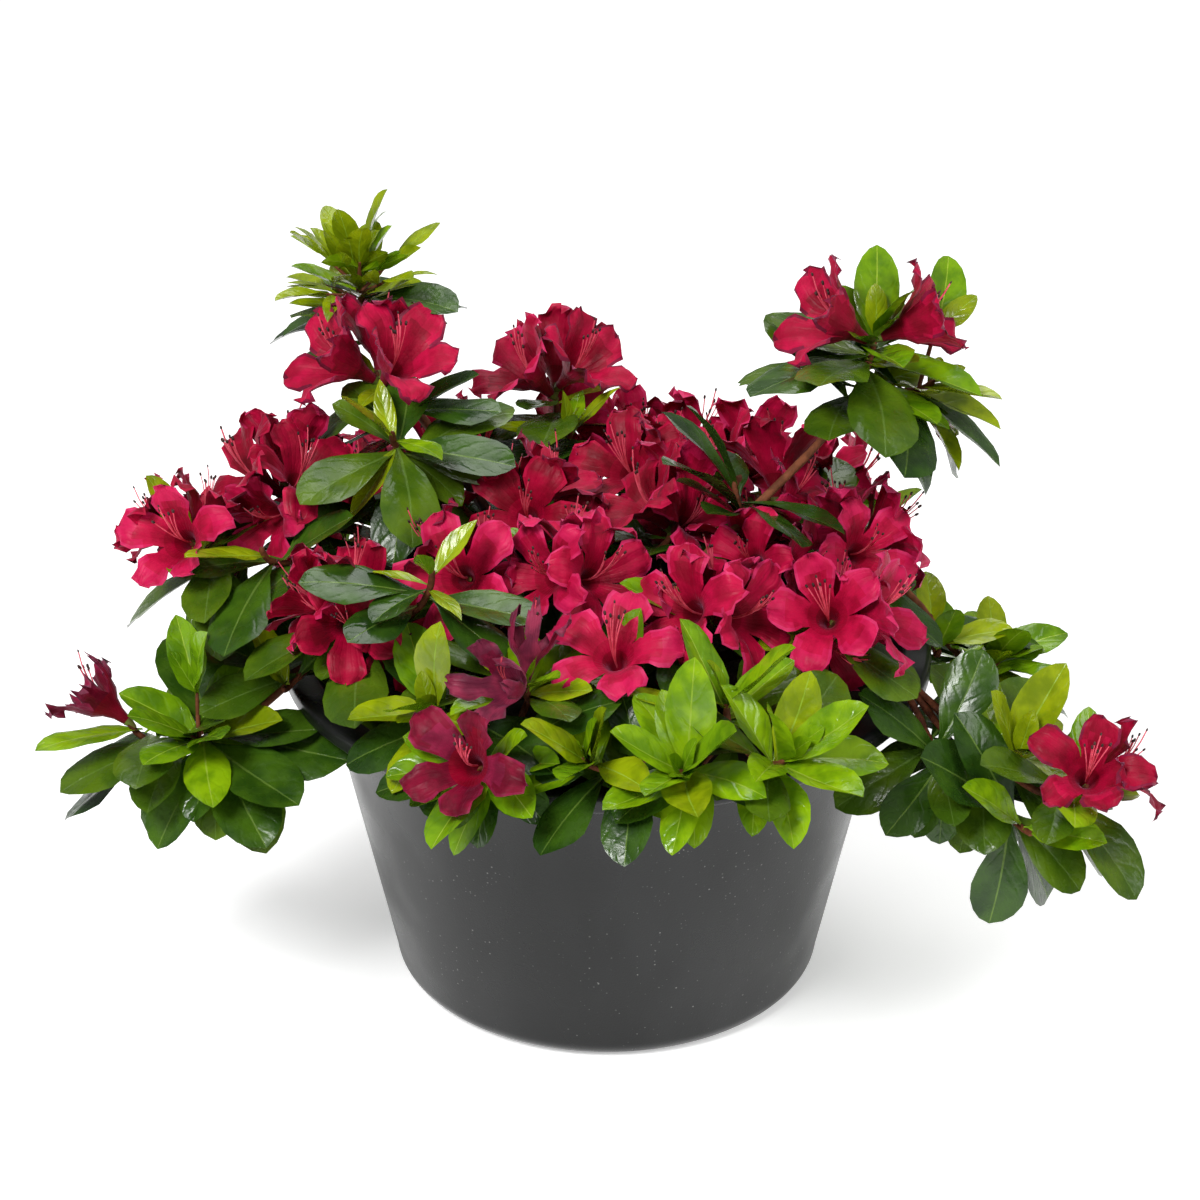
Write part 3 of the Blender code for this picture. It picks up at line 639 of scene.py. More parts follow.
spearMasses = ("crest_left", "upper_left", "upper_back", "mid_left", "back_middle")  # narrower leaves
forkRings = {("crest_right", 2): 4}  # where a twig leaves its stem later than the others

leafKinds = {
    "old": {
        "length": 45 * mm, "width": 0.50, "thick": 1.3 * mm, "fold": 0.16, "droop": 0.16,
        "space": ((0.36, 0.62), (0.74, 1.0)), "back": (7 * mm, 19 * mm), "tilt": (74, 100),
    },
    "young": {
        "length": 36 * mm, "width": 0.45, "thick": 1.2 * mm, "fold": 0.20, "droop": 0.12,
        "space": ((0.55, 1.0),), "back": (1.5 * mm, 8 * mm), "tilt": (20, 82),
    },
    "spear": {
        "length": 35 * mm, "width": 0.32, "thick": 1.2 * mm, "fold": 0.22, "droop": 0.10,
        "space": ((0.50, 1.0),), "back": (1.5 * mm, 9 * mm), "tilt": (20, 92),
    },
}
leafRule = {
    "sunk": 0.7 * mm, "crest": 0.58, "sizes": (0.82, 1.10), "tries": 9, "shrink": 0.03,
    "swing": 6, "loosen": 4, "outer": 0.22, "inward": 0.55, "sky": 0.75,
}
flowerRule = {
    "reach": 20.5 * mm, "lobeWide": 15.0 * mm, "tipHeight": 24.5 * mm, "shoulderHeight": 21.2 * mm,
    "notchRadius": 7.8 * mm, "notchHeight": 14.0 * mm, "throatHeight": 9.5 * mm,
    "thick": 1.2 * mm, "shoulder": 0.78, "ridge": 0.55, "back": 1.5 * mm, "sizes": (0.96, 1.06),
    "tries": 30, "freeTries": 24, "outer": 0.3, "shrink": 0.007, "swing": (4, 1.2), "nod": (3, 0.8),
}

taken = {"owners": [], "trees": [], "low": np.zeros((9000, 3)), "high": np.zeros((9000, 3))}


def take(owner, verts, faces):
    spots = np.array([vert[:] for vert in verts])
    index = len(taken["owners"])
    taken["low"][index] = spots.min(0)
    taken["high"][index] = spots.max(0)
    taken["owners"].append(owner)
    taken["trees"].append(BVHTree.FromPolygons(verts, faces))


def crosses(verts, faces, wanted):
    # true where a shape cuts one that was taken up earlier
    spots = np.array([vert[:] for vert in verts])
    count = len(taken["owners"])
    near = (taken["low"][:count] <= spots.max(0)) & (taken["high"][:count] >= spots.min(0))
    tree = None
    for index in np.nonzero(near.all(1))[0]:
        if not wanted(taken["owners"][index]):
            continue
        tree = tree or BVHTree.FromPolygons(verts, faces)
        if tree.overlap(taken["trees"][index]):
            return True
    return False


def swollen(verts, faces, by):
    normals = [Vector() for _ in verts]
    for face in faces:
        a, b, c = (verts[index] for index in face[:3])
        square = (b - a).cross(c - a).normalized()
        for index in face:
            normals[index] += square
    return [vert + normal.normalized() * by for vert, normal in zip(verts, normals)]


def axisOf(towards, tilt):
    turn, lean = math.radians(towards), math.radians(tilt)
    return Vector((math.sin(lean) * math.cos(turn), math.sin(lean) * math.sin(turn), math.cos(lean)))


def across(direction):
    side = direction.cross(upright)
    if side.length < 0.05:
        side = direction.cross(Vector((0, 1, 0)))
    side.normalize()
    return side, side.cross(direction).normalized()


def swept(start, leaves, end, arrives, count, pull=0.36):
    # places and directions on the smooth curve between two ends
    reach = (end - start).length * pull
    a, b = start + leaves * reach, end - arrives * reach
    places, ways = [], []
    for step in range(count):
        t = step / (count - 1)
        u = 1 - t
        places.append(start * u**3 + a * 3 * u * u * t + b * 3 * u * t * t + end * t**3)
        way = (a - start) * u * u + (b - a) * 2 * u * t + (end - b) * t * t
        ways.append(way.normalized())
    return places, ways


def limbSpace(places, ways, root, tip, sides=3):
    verts, faces = [], []
    side, up = across(ways[0])
    for ring, (place, way) in enumerate(zip(places, ways)):
        radius = mixed(root, tip, ring / (len(places) - 1))
        side = (side - way * side.dot(way)).normalized()
        up = side.cross(way).normalized()
        for index in range(sides):
            turn = math.tau * index / sides
            verts.append(place + (side * math.cos(turn) + up * math.sin(turn)) * radius)
    for ring in range(len(places) - 1):
        for index in range(sides):
            a, b = ring * sides + index, ring * sides + (index + 1) % sides
            faces.append((a, a + sides, b + sides, b))
    faces.append(tuple(range(sides)))
    last = (len(places) - 1) * sides
    faces.append(tuple(reversed(range(last, last + sides))))
    return verts, faces


def leafSpace(form, size, cut=0.0):
    length = form["length"] * size
    half = length * form["width"] / 2
    root = mixed(-leafRule["sunk"], length, cut)

    def lifted(x, y):
        return -form["droop"] * x * x / length + form["fold"] * abs(y)

    verts = [Vector((root, 0, lifted(root, 0)))]
    right, left = [], []
    for share, wide in form["space"]:
        x = length * max(share, cut + 0.1)
        for sign, row in ((-1, right), (1, left)):
            row.append(len(verts))
            verts.append(Vector((x, sign * half * wide, lifted(x, half * wide))))
    tip = len(verts)
    verts.append(Vector((length, 0, lifted(length, 0))))
    middle = length * leafRule["crest"]
    for sign in (1, -1):
        verts.append(Vector((middle, 0, lifted(middle, 0) + sign * form["thick"] / 2)))
    edge = [0] + right + [tip] + left[::-1]
    faces = []
    for a, b in zip(edge, edge[1:] + edge[:1]):
        faces += [(tip + 1, a, b), (tip + 2, b, a)]
    return verts, faces


def flowerSpace(size, cut=0.0):
    rule = flowerRule
    root = -mm + cut * rule["notchHeight"]
    verts = [Vector((0, 0, root)), Vector((0, 0, max(rule["throatHeight"], root + 2 * mm)))]
    faces = []

    def spot(turn, radius, height):
        turn = math.radians(turn)
        verts.append(Vector((radius * math.cos(turn), radius * math.sin(turn), height)))
        return len(verts) - 1

    shoulder = rule["reach"] * rule["shoulder"]
    wide = math.degrees(math.asin(rule["lobeWide"] / 2 / shoulder))
    chord = rule["notchRadius"] * math.cos(math.radians(36))
    middle = rule["reach"] * rule["ridge"]
    slope = (rule["tipHeight"] - rule["notchHeight"]) / (rule["reach"] - chord)
    height = rule["notchHeight"] + slope * (middle - chord) + rule["thick"]
    notches = [spot(72 * (lobe - 0.5), rule["notchRadius"], rule["notchHeight"]) for lobe in range(5)]
    for lobe in range(5):
        turn = 72 * lobe
        first, second = notches[lobe], notches[(lobe + 1) % 5]
        left = spot(turn - wide, shoulder, rule["shoulderHeight"])
        tip = spot(turn, rule["reach"], rule["tipHeight"])
        right = spot(turn + wide, shoulder, rule["shoulderHeight"])
        centre = spot(turn, middle, height)
        rim = [1, first, left, tip, right, second]
        faces += [(centre, a, b) for a, b in zip(rim, rim[1:] + rim[:1])]
        faces += [(0, second, first), (first, second, tip)]
        faces += [(first, tip, left), (second, right, tip)]
    return [vert * size for vert in verts], faces


def setDown(verts, root, axes):
    x, y, z = axes
    return [root + x * v.x + y * v.y + z * v.z for v in verts]


def footMiddle(height):
    rise = (height - growth["footBottom"]) / (growth["footTop"] - growth["footBottom"])
    return Vector((0, 0, height)) + growth["footLean"] * rise


def footRadius(height):
    rise = (height - growth["footBottom"]) / (growth["footTop"] - growth["footBottom"])
    flare = (growth["footFlare"] - growth["footWaist"]) * math.exp(-rise * growth["flareFade"])
    return mixed(growth["footWaist"], growth["footTip"], rise) + flare


def boughRoute(mass):
    rooting, end, shoots = masses[mass]
    if rooting is None:
        top = footMiddle(growth["footTop"])
        return top, None, top, upright.copy()
    height = growth["boughLevels"][rooting[1]]
    spoke = axisOf(rooting[0], 90)
    out = footRadius(height - growth["boughRoot"]) + 2 * growth["gap"]
    start, end, tip = footMiddle(height) + spoke * out, Vector(end) * mm, Vector(shoots[0][0]) * mm
    arrives = ((end - start).normalized() + (tip - end).normalized()).normalized()
    return start, spoke, end, arrives


class Shoot:
    def __init__(self, mass, number, row, places, route):
        axis, blooms = row[1], row[2]
        self.mass, self.number = mass, number
        self.chance = random.Random(f"{mass} {number}")
        self.places = places
        self.route = route  # start, leaves, end, arrives and root radius, for the finer twig
        self.axis = axisOf(*axis)
        self.side = (Vector((1, 0, 0)) - self.axis * self.axis.x).normalized()
        self.up = self.axis.cross(self.side)
        self.bloomCount, self.bloomTurn, self.bloomTilt = blooms
        self.young, self.old = row[3], row[4]

    def back(self, distance):
        left = distance
        for index in range(len(self.places) - 1, 0, -1):
            step = self.places[index - 1] - self.places[index]
            if step.length >= left:
                return self.places[index] + step.normalized() * left
            left -= step.length
        return self.places[0].copy()

    def heading(self, turn, tilt):
        turn, tilt = math.radians(turn), math.radians(tilt)
        spoke = self.side * math.cos(turn) + self.up * math.sin(turn)
        return (self.axis * math.cos(tilt) + spoke * math.sin(tilt)).normalized()


def growTwigs(mass):
    shoots = masses[mass][2]
    _, _, end, arrives = boughRoute(mass)
    chance = random.Random(mass)
    start = end + arrives * growth["gap"]
    tip = Vector(shoots[0][0]) * mm
    stem = swept(start, arrives, tip, axisOf(*shoots[0][1]), 6)
    grown = []
    for number, row in enumerate(shoots):
        places, ways = stem
        route = (start, arrives, tip, axisOf(*shoots[0][1]), growth["twigRoot"])
        if number:
            twigTip = Vector(row[0]) * mm
            fork = places[forkRings.get((mass, number), 2 if len(shoots) == 2 else 1)]
            leaves = (ways[1] + (twigTip - fork).normalized() * 2).normalized()
            leaves.z += chance.uniform(-growth["twigSway"], growth["twigSway"])
            route = (fork, leaves.normalized(), twigTip, axisOf(*row[1]), growth["twigFork"])
            places, ways = swept(*route[:4], 5)
        verts, faces = limbSpace(places, ways, route[4], growth["twigTip"])
        wide = swollen(verts, faces, growth["clearance"])
        if number and crosses(wide, faces, lambda owner: owner != mass):
            continue
        take(mass, verts, faces)
        grown.append(Shoot(mass, number, row, places, route))
    return grown


def fits(shoot, verts, faces, outer, strict):
    for shape in (verts, swollen(verts, faces, growth["clearance"])):
        if crosses(shape, faces, lambda owner: owner != shoot.mass):
            return False
    return not (strict and crosses(outer, faces, lambda owner: owner == shoot.mass))


def spunAxes(forward, spin):
    side, up = across(forward)
    side = side * math.cos(spin) + up * math.sin(spin)
    return side, forward.cross(side), forward


def tryFlower(shoot, number, attempt):
    rule, chance = flowerRule, shoot.chance
    turn = shoot.bloomTurn + 360 * number / shoot.bloomCount
    turn += chance.uniform(-1, 1) * (rule["swing"][0] + attempt * rule["swing"][1])
    tilt = shoot.bloomTilt + chance.uniform(-0.6, 1) * (rule["nod"][0] + attempt * rule["nod"][1])
    size = chance.uniform(*rule["sizes"]) - rule["shrink"] * attempt
    forward = shoot.heading(turn, tilt)
    axes = spunAxes(forward, math.radians(chance.uniform(0, 72)))
    return shoot.back(rule["back"] * (number + 1)), axes, size


def leafFrame(shoot, turn, tilt):
    forward = shoot.heading(turn, tilt)
    inward = shoot.axis - forward * shoot.axis.dot(forward)
    sky = upright - forward * forward.z
    upward = inward.normalized() * leafRule["inward"] + sky * leafRule["sky"]
    side = upward.cross(forward).normalized()
    return forward, side, forward.cross(side)


def tryLeaf(shoot, form, turn, share, attempt):
    chance = shoot.chance
    loose = leafRule["swing"] + leafRule["loosen"] * attempt
    size = chance.uniform(*leafRule["sizes"]) * (1 - leafRule["shrink"] * attempt)
    turn += chance.uniform(-1, 1) * loose
    tilt = mixed(*form["tilt"], share) + chance.uniform(-1, 1) * loose
    return shoot.back(mixed(*form["back"], share)), leafFrame(shoot, turn, tilt), size


def spaceOf(make, root, axes, size, cut):
    # the whole shape, its faces and the outer part that others keep clear of
    verts, faces = make(size)
    outer, _ = make(size, cut)
    return setDown(verts, root, axes), faces, setDown(outer, root, axes)


def placeShape(shoot, make, root, axes, size, cut, strict):
    # keeps the shape if there is room for it
    verts, faces, outer = spaceOf(make, root, axes, size, cut)
    if not fits(shoot, verts, faces, outer, strict):
        return False
    take(shoot.mass, verts, faces)
    return True


def growFlowers(shoot):
    made = []
    for number in range(shoot.bloomCount):
        for attempt in range(flowerRule["tries"]):
            root, axes, size = tryFlower(shoot, number, attempt)
            strict = attempt < flowerRule["freeTries"]
            if placeShape(shoot, flowerSpace, root, axes, size, flowerRule["outer"], strict):
                made.append((shoot, root, axes, size))
                break
    return made


def growLeaves(shoot, kind):
    made = []
    count = shoot.old if kind == "old" else shoot.young
    shape = "spear" if kind == "young" and shoot.mass in spearMasses else kind
    form = leafKinds[shape]
    phase = shoot.chance.uniform(0, 360)
    for number in range(count):
        turn = phase + number * growth["goldenAngle"]
        for attempt in range(leafRule["tries"]):
            root, axes, size = tryLeaf(shoot, form, turn, (number + 0.5) / count, attempt)
            if placeShape(shoot, partial(leafSpace, form), root, axes, size, leafRule["outer"], True):
                made.append((shape, shoot, root, axes, size))
                break
    return made


solids = ["pot", "compost", "stem_foot"]
solids += ["bough_" + mass for mass in masses if masses[mass][0] is not None]
for node in solids:
    whole = bmesh.new()
    whole.from_mesh(cadNodes[node].data)
    bmesh.ops.remove_doubles(whole, verts=whole.verts, dist=1e-6)
    whole.verts.index_update()
    take(node, [v.co.copy() for v in whole.verts], [[v.index for v in f.verts] for f in whole.faces])
    whole.free()

shoots = [shoot for mass in masses for shoot in growTwigs(mass)]
flowers = [flower for shoot in shoots for flower in growFlowers(shoot)]
leaves = {
    kind: [leaf for shoot in shoots for leaf in growLeaves(shoot, kind)]
    for kind in ("old", "young")
}
counts = len(shoots), len(flowers), len(leaves["old"]), len(leaves["young"])
print("%d shoots, %d flowers, %d old leaves, %d young leaves" % counts)


# finer growth, inside the reach of each mass

extras = {
    "margin": 3.0 * mm,  # how far past its solid a mass may grow
    "domeFlowers": 2,  # per shoot that blooms, where there is room
    "throat": 13,  # mm up a flower's axis
    "throatGap": 17.5 * mm,
    "crowded": {"far_left": (4, 14.5 * mm), "mid_left": (4, 14.0 * mm), "upper_back": (1, 16 * mm)},
    "flowerTries": 60,
    "flowerSizes": (0.84, 1.0),
    "flowerBack": (3 * mm, 16 * mm),
    "flowerTilt": (34, 92),
    "old": (5, (6 * mm, 26 * mm), (55, 112), (0.6, 1.0)),  # leaves: count, place, tilt and size
    "young": (2, (4 * mm, 14 * mm), (55, 105), (0.7, 1.05)),
    "heart": (3, (0.5 * mm, 2 * mm), (4, 40), (0.34, 0.6)),  # in the middle of a young rosette
    "heartFrom": 5,  # fewest young leaves of such a rosette
    "throatClear": 8.0 * mm,
    "leafTries": 12,
    "outer": 0.35,
    "pastBox": 0.02,  # of the whole part's own sides
}


def insideMass(mass, verts):
    low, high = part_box("foliage_" + mass)
    room = extras["margin"]
    lowest, highest = cadBox
    for axis in range(3):
        values = [vert[axis] for vert in verts]
        if min(values) < low[axis] - room or max(values) > high[axis] + room:
            return False
        edge = extras["pastBox"] * (highest[axis] - lowest[axis])
        if min(values) < lowest[axis] - edge or max(values) > highest[axis] + edge:
            return False
    return True


def addShape(shoot, make, root, axes, size):
    verts, faces, outer = spaceOf(make, root, axes, size, extras["outer"])
    if not insideMass(shoot.mass, verts) or crosses(outer, faces, lambda owner: True):
        return False
    if crosses(verts, faces, lambda owner: owner in solids):
        return False
    take(shoot.mass, outer, faces)
    return True


def spine(form, root, axes, size):
    return [root + axes[0] * form["length"] * size * share for share in (0.35, 0.6, 0.85)]


def blocked(spots, others):
    return any((spot - other).length < extras["throatClear"] for spot in spots for other in others)


def throatOf(root, axes, size):
    return root + axes[2] * extras["throat"] * mm * size


throats = [throatOf(*flower[1:]) for flower in flowers]
spines = [
    spot for grown in leaves.values() for form, _, root, axes, size in grown
    for spot in spine(leafKinds[form], root, axes, size)
]


def addFlowers(shoot):
    # another bloom where no throat is near and the lobes clear the limbs and leaves
    made = []
    most, gap = extras["crowded"].get(shoot.mass, (extras["domeFlowers"], extras["throatGap"]))
    chance = random.Random(f"more flowers {shoot.mass} {shoot.number}")
    for _ in range(extras["flowerTries"]):
        forward = shoot.heading(chance.uniform(0, 360), chance.uniform(*extras["flowerTilt"]))
        axes = spunAxes(forward, math.radians(chance.uniform(0, 72)))
        root = shoot.back(chance.uniform(*extras["flowerBack"]))
        size = chance.uniform(*extras["flowerSizes"])
        throat = throatOf(root, axes, size)
        if min((throat - other).length for other in throats) < gap or blocked([throat], spines):
            continue
        verts, faces = flowerSpace(size)
        verts = setDown(verts, root, axes)
        if not insideMass(shoot.mass, verts) or crosses(verts, faces, lambda owner: owner in solids):
            continue
        throats.append(throat)
        take(shoot.mass, verts, faces)
        made.append((shoot, root, axes, size))
        if len(made) == most:
            break
    return made


def addLeaves(shoot, kind, count, backs, tilts, sizes):
    made = []
    chance = random.Random(f"more {kind} {shoot.mass} {shoot.number} {count} {sizes}")
    form = leafKinds[kind]
    for _ in range(count):
        for _ in range(extras["leafTries"]):
            axes = leafFrame(shoot, chance.uniform(0, 360), chance.uniform(*tilts))
            root, size = shoot.back(chance.uniform(*backs)), chance.uniform(*sizes)
            if blocked(spine(form, root, axes, size), throats):
                continue
            if addShape(shoot, partial(leafSpace, form), root, axes, size):
                made.append((kind, shoot, root, axes, size))
                break
    return made


for shoot in shoots:
    if shoot.bloomCount > 1 and (shoot.mass.startswith("dome") or shoot.mass in extras["crowded"]):
        flowers += addFlowers(shoot)
for shoot in shoots:
    fresh = "spear" if shoot.mass in spearMasses else "young"
    leaves["old"] += addLeaves(shoot, "old", *extras["old"])
    if shoot.young >= extras["heartFrom"]:
        for part in ("heart", "young"):
            leaves["young"] += addLeaves(shoot, fresh, *extras[part])

sprays = {
    "masses": ("crest_left",),  # their young leaves stand on side twigs of their own
    "smaller": {"mid_left": 0.74, "upper_back": 0.84},
    "single": (0.62, 0.78),
    "fork": (0.40, 0.54),  # where a side twig ends, as a share of the reach
    "ends": (0.56, 0.70),
    "sides": (0.52, 0.68),
    "spread": (40, 70),
    "lift": (-0.2, 0.4),
    "starts": (0.55, 0.95),
    "thick": (0.70, 0.50),
    "hanging": {"masses": ("front_left", "rim_front"), "below": -0.45, "size": 0.60},
    "renewed": {  # least x and z heading of the leaves drawn young
        ("crest_right", 0): (0.25, -0.35), ("crest_right", 2): (0.25, -0.2),
        ("side_right", 0): (-1.0, 0.1), ("side_right", 1): (-1.0, 0.1),
    },
    "renewedSize": {"crest_right": 0.98, "side_right": 0.66},
    "fuller": {
        ("crest_right", 0): 1.15, ("crest_right", 2): 1.12, ("low_left", 0): 1.14,
        ("low_left", 1): 1.08, ("low_right", 3): 1.10,
    },
    "raised": {  # how many upright leaves stand on a twig of their own, and where it leads in mm
        ("low_left", 0): (3, (0, 2, 18)), ("crest_right", 2): (2, (6, 12, 17)),
    },
    "raisedThick": (0.85, 0.65),
    "shrinks": (12, 0.92),  # most steps, and the size kept at each, for a leaf out of reach
}
sideTwigs = []


def openSpray(number, leaf):
    kind, shoot, root, axes, size = leaf
    if kind != "spear" or shoot.mass not in sprays["masses"]:
        return [(kind, shoot, root, axes, size * sprays["smaller"].get(shoot.mass, 1.0))]
    forward, side, above = axes
    chance = random.Random(f"spray {shoot.mass} {number}")
    if number % 2:
        return [("young", shoot, root, axes, chance.uniform(*sprays["single"]))]
    fork = leafKinds["spear"]["length"] * size * chance.uniform(*sprays["fork"])
    tip = root + forward * fork
    thick = sprays["thick"]
    middle = root + forward * fork * 0.5
    sideTwigs.append([(root - forward * mm, thick[0]), (middle, thick[0]), (tip, thick[1])])
    made = [("young", shoot, tip - forward * 0.5 * mm, axes, chance.uniform(*sprays["ends"]))]
    for way in (-1, 1):
        turn = math.radians(chance.uniform(*sprays["spread"])) * way
        heading = forward * math.cos(turn) + side * math.sin(turn) + above * chance.uniform(*sprays["lift"])
        heading.normalize()
        aside = above.cross(heading).normalized()
        start = root + forward * fork * chance.uniform(*sprays["starts"])
        frame = (heading, aside, heading.cross(aside))
        made.append(("spear", shoot, start, frame, chance.uniform(*sprays["sides"])))
    return made


def fitted(leaf):
    kind, shoot, root, axes, size = leaf
    rule = sprays["hanging"]
    size *= sprays["fuller"].get((shoot.mass, shoot.number), 1.0)
    if shoot.mass in rule["masses"] and axes[0].z < rule["below"]:
        size *= rule["size"]
    return kind, shoot, root, axes, size


def isRenewed(leaf):
    least = sprays["renewed"].get((leaf[1].mass, leaf[1].number))
    return least is not None and leaf[3][0].x > least[0] and leaf[3][0].z > least[1]


def drawnYoung(leaf):
    kind, shoot, root, axes, size = leaf
    longer = leafKinds[kind]["length"] / leafKinds["young"]["length"]
    return "young", shoot, root, axes, size * longer * sprays["renewedSize"][shoot.mass]


def withinReach(leaf):
    # a leaf that would pass the reach of its mass is drawn smaller
    kind, shoot, root, axes, size = leaf
    steps, kept = sprays["shrinks"]
    for _ in range(steps):
        verts, _ = leafSpace(leafKinds[kind], size)
        if insideMass(shoot.mass, setDown(verts, root, axes)):
            break
        size *= kept
    return kind, shoot, root, axes, size


def raiseLeaves(young):
    for place, (count, way) in sprays["raised"].items():
        own = [at for at, leaf in enumerate(young) if (leaf[1].mass, leaf[1].number) == place]
        own.sort(key=lambda at: -young[at][3][0].z)
        root, thick = young[own[0]][2], sprays["raisedThick"]
        top = root + Vector(way) * mm
        middle = root.lerp(top, 0.5)
        sideTwigs.append([(root.lerp(middle, -0.1), thick[0]), (middle, thick[0]), (top, thick[1])])
        for at in own[:count]:
            kind, shoot, _, axes, size = young[at]
            young[at] = (kind, shoot, top - axes[0] * 0.4 * mm, axes, size)


leaves["young"] = [
    leaf for number, whole in enumerate(leaves["young"]) for leaf in openSpray(number, whole)
]
raiseLeaves(leaves["young"])
leaves["young"] += [drawnYoung(leaf) for leaf in leaves["old"] if isRenewed(leaf)]
leaves["old"] = [fitted(leaf) for leaf in leaves["old"] if not isRenewed(leaf)]
leaves = {kind: [withinReach(leaf) for leaf in grown] for kind, grown in leaves.items()}
print("with finer growth:", len(flowers), "flowers,", len(leaves["old"]), "old leaves,",
      len(leaves["young"]), "young leaves")


# joined meshes: one shape, many places


def readShape(shape):
    shape.verts.index_update()
    flat = shape.loops.layers.uv.active
    corners, starts, zones, spots = [], [], [], []
    for face in shape.faces:
        starts.append(len(corners))
        zones.append(face.material_index)
        for loop in face.loops:
            corners.append(loop.vert.index)
            spots.append(loop[flat].uv[:] if flat else (0, 0))
    points = np.array([vert.co[:] for vert in shape.verts])
    shape.free()
    return {
        "points": points, "corners": np.array(corners), "starts": np.array(starts),
        "zones": np.array(zones), "spots": np.array(spots),
    }


def plantOut(name, sprigs, paints, replaced):
    # sprigs: shape, root, three axes, size and which paint each zone of the shape takes
    points, corners, starts, zones, spots = [], [], [], [], []
    pointCount, cornerCount = 0, 0
    for shape, root, axes, size, palette in sprigs:
        rows = np.array([axis[:] for axis in axes]) * size
        points.append(shape["points"] @ rows + np.array(root[:]))
        corners.append(shape["corners"] + pointCount)
        starts.append(shape["starts"] + cornerCount)
        zones.append(np.array(palette)[shape["zones"]])
        spots.append(shape["spots"])
        pointCount += len(shape["points"])
        cornerCount += len(shape["corners"])
    mesh = bpy.data.meshes.new(name)
    starts = np.concatenate(starts)
    mesh.vertices.add(pointCount)
    mesh.vertices.foreach_set("co", np.concatenate(points).ravel())
    mesh.loops.add(cornerCount)
    mesh.loops.foreach_set("vertex_index", np.concatenate(corners))
    mesh.polygons.add(len(starts))
    mesh.polygons.foreach_set("loop_start", starts)
    mesh.polygons.foreach_set("material_index", np.concatenate(zones))
    mesh.update(calc_edges=True)
    mesh.uv_layers.new(name="flat").data.foreach_set("uv", np.concatenate(spots).ravel())
    for paint in paints:
        mesh.materials.append(finishes[paint])
    mesh.validate()
    print(name, "has", sum(len(face.vertices) - 2 for face in mesh.polygons), "triangles")
    addPiece(name, mesh, replaced)


# leaves

blades = {
    "old": {
        "rows": ((0, 0.10), (0.07, 0.08), (0.20, 0.26), (0.36, 0.62), (0.52, 0.89), (0.66, 1.0),
                 (0.79, 0.93), (0.89, 0.72), (0.96, 0.42), (1.0, 0.0)),
        "rib": 0.55 * mm, "groove": 0.45 * mm,
        "fold": 0.30, "recurve": 0.34, "wave": 0.9 * mm, "twist": 16,
        "sickle": 0.035, "arch": 0.10,
    },
    "young": {
        "rows": ((0, 0.10), (0.07, 0.14), (0.19, 0.46), (0.32, 0.80), (0.46, 0.99), (0.60, 1.0),
                 (0.75, 0.89), (0.87, 0.65), (0.955, 0.34), (1.0, 0.0)),
        "rib": 0.42 * mm, "groove": 0.45 * mm,
        "fold": 0.42, "recurve": 0.36, "wave": 0.7 * mm, "twist": 18,
        "sickle": 0.04, "arch": 0.14,
    },
    "spear": {
        "rows": ((0, 0.12), (0.07, 0.14), (0.20, 0.46), (0.36, 0.84), (0.52, 1.0),
                 (0.68, 0.88), (0.83, 0.56), (0.94, 0.22), (1.0, 0.0)),
        "rib": 0.36 * mm, "groove": 0.35 * mm,
        "fold": 0.42, "recurve": 0.26, "wave": 0.6 * mm, "twist": 24,
        "sickle": 0.05, "arch": 0.16,
    },
}
bladeColumns = (-1, -0.62, -0.06, 0.06, 0.62, 1)


def makeBlade(kind, variant):
    form, cut = leafKinds[kind], blades[kind]
    chance = random.Random(f"{kind} blade {variant}")
    twist = math.radians(chance.uniform(-1, 1) * cut["twist"])
    sickle = chance.uniform(-1, 1) * cut["sickle"]
    arch = chance.uniform(-0.5, 1.2) * cut["arch"]
    phase = chance.uniform(0, math.tau)
    recurve = cut["recurve"] * chance.uniform(0.4, 1.5)
    fold = chance.uniform(0.6, 1.4)
    length, half = form["length"], form["length"] * form["width"] / 2
    rowCount, columnCount = len(cut["rows"]) - 1, len(bladeColumns) - 1
    blade = bmesh.new()
    flat = blade.loops.layers.uv.new("flat")
    bmesh.ops.create_grid(blade, x_segments=rowCount, y_segments=columnCount, size=1)
    for face in blade.faces:
        middle = face.calc_center_median()
        face.material_index = 1 if abs(middle.y) < 1 / columnCount else 0
        for loop in face.loops:
            loop[flat].uv = ((loop.vert.co.y + 1) / 2, (loop.vert.co.x + 1) / 2)
    for vert in blade.verts:
        share, wide = cut["rows"][round((vert.co.x + 1) / 2 * rowCount)]
        column = bladeColumns[round((vert.co.y + 1) / 2 * columnCount)]
        x = mixed(-leafRule["sunk"], length, share)
        if abs(column) < 0.1:
            y = math.copysign(min(cut["rib"] * (1 - 0.6 * share), half * wide * 0.5), column)
            z = -cut["groove"] * math.sin(math.pi * min(1, share * 1.1))
        else:
            y = column * half * wide
            edge = y / half
            z = cut["fold"] * fold * abs(y) - recurve * half * edge * edge
            z += cut["wave"] * edge * edge * math.sin(share * 9 + phase + math.copysign(1.2, y))
        if wide == 0:
            y = 0
        z -= form["droop"] * x * x / length + arch * length * share * share * (share - 0.4)
        turn = twist * share
        y, z = y * math.cos(turn) - z * math.sin(turn) * 0.3, z + y * math.sin(turn)
        vert.co = (x, y + sickle * length * math.sin(math.pi * share), z)
    bmesh.ops.remove_doubles(blade, verts=blade.verts, dist=1e-6)
    return readShape(blade)


# flowers

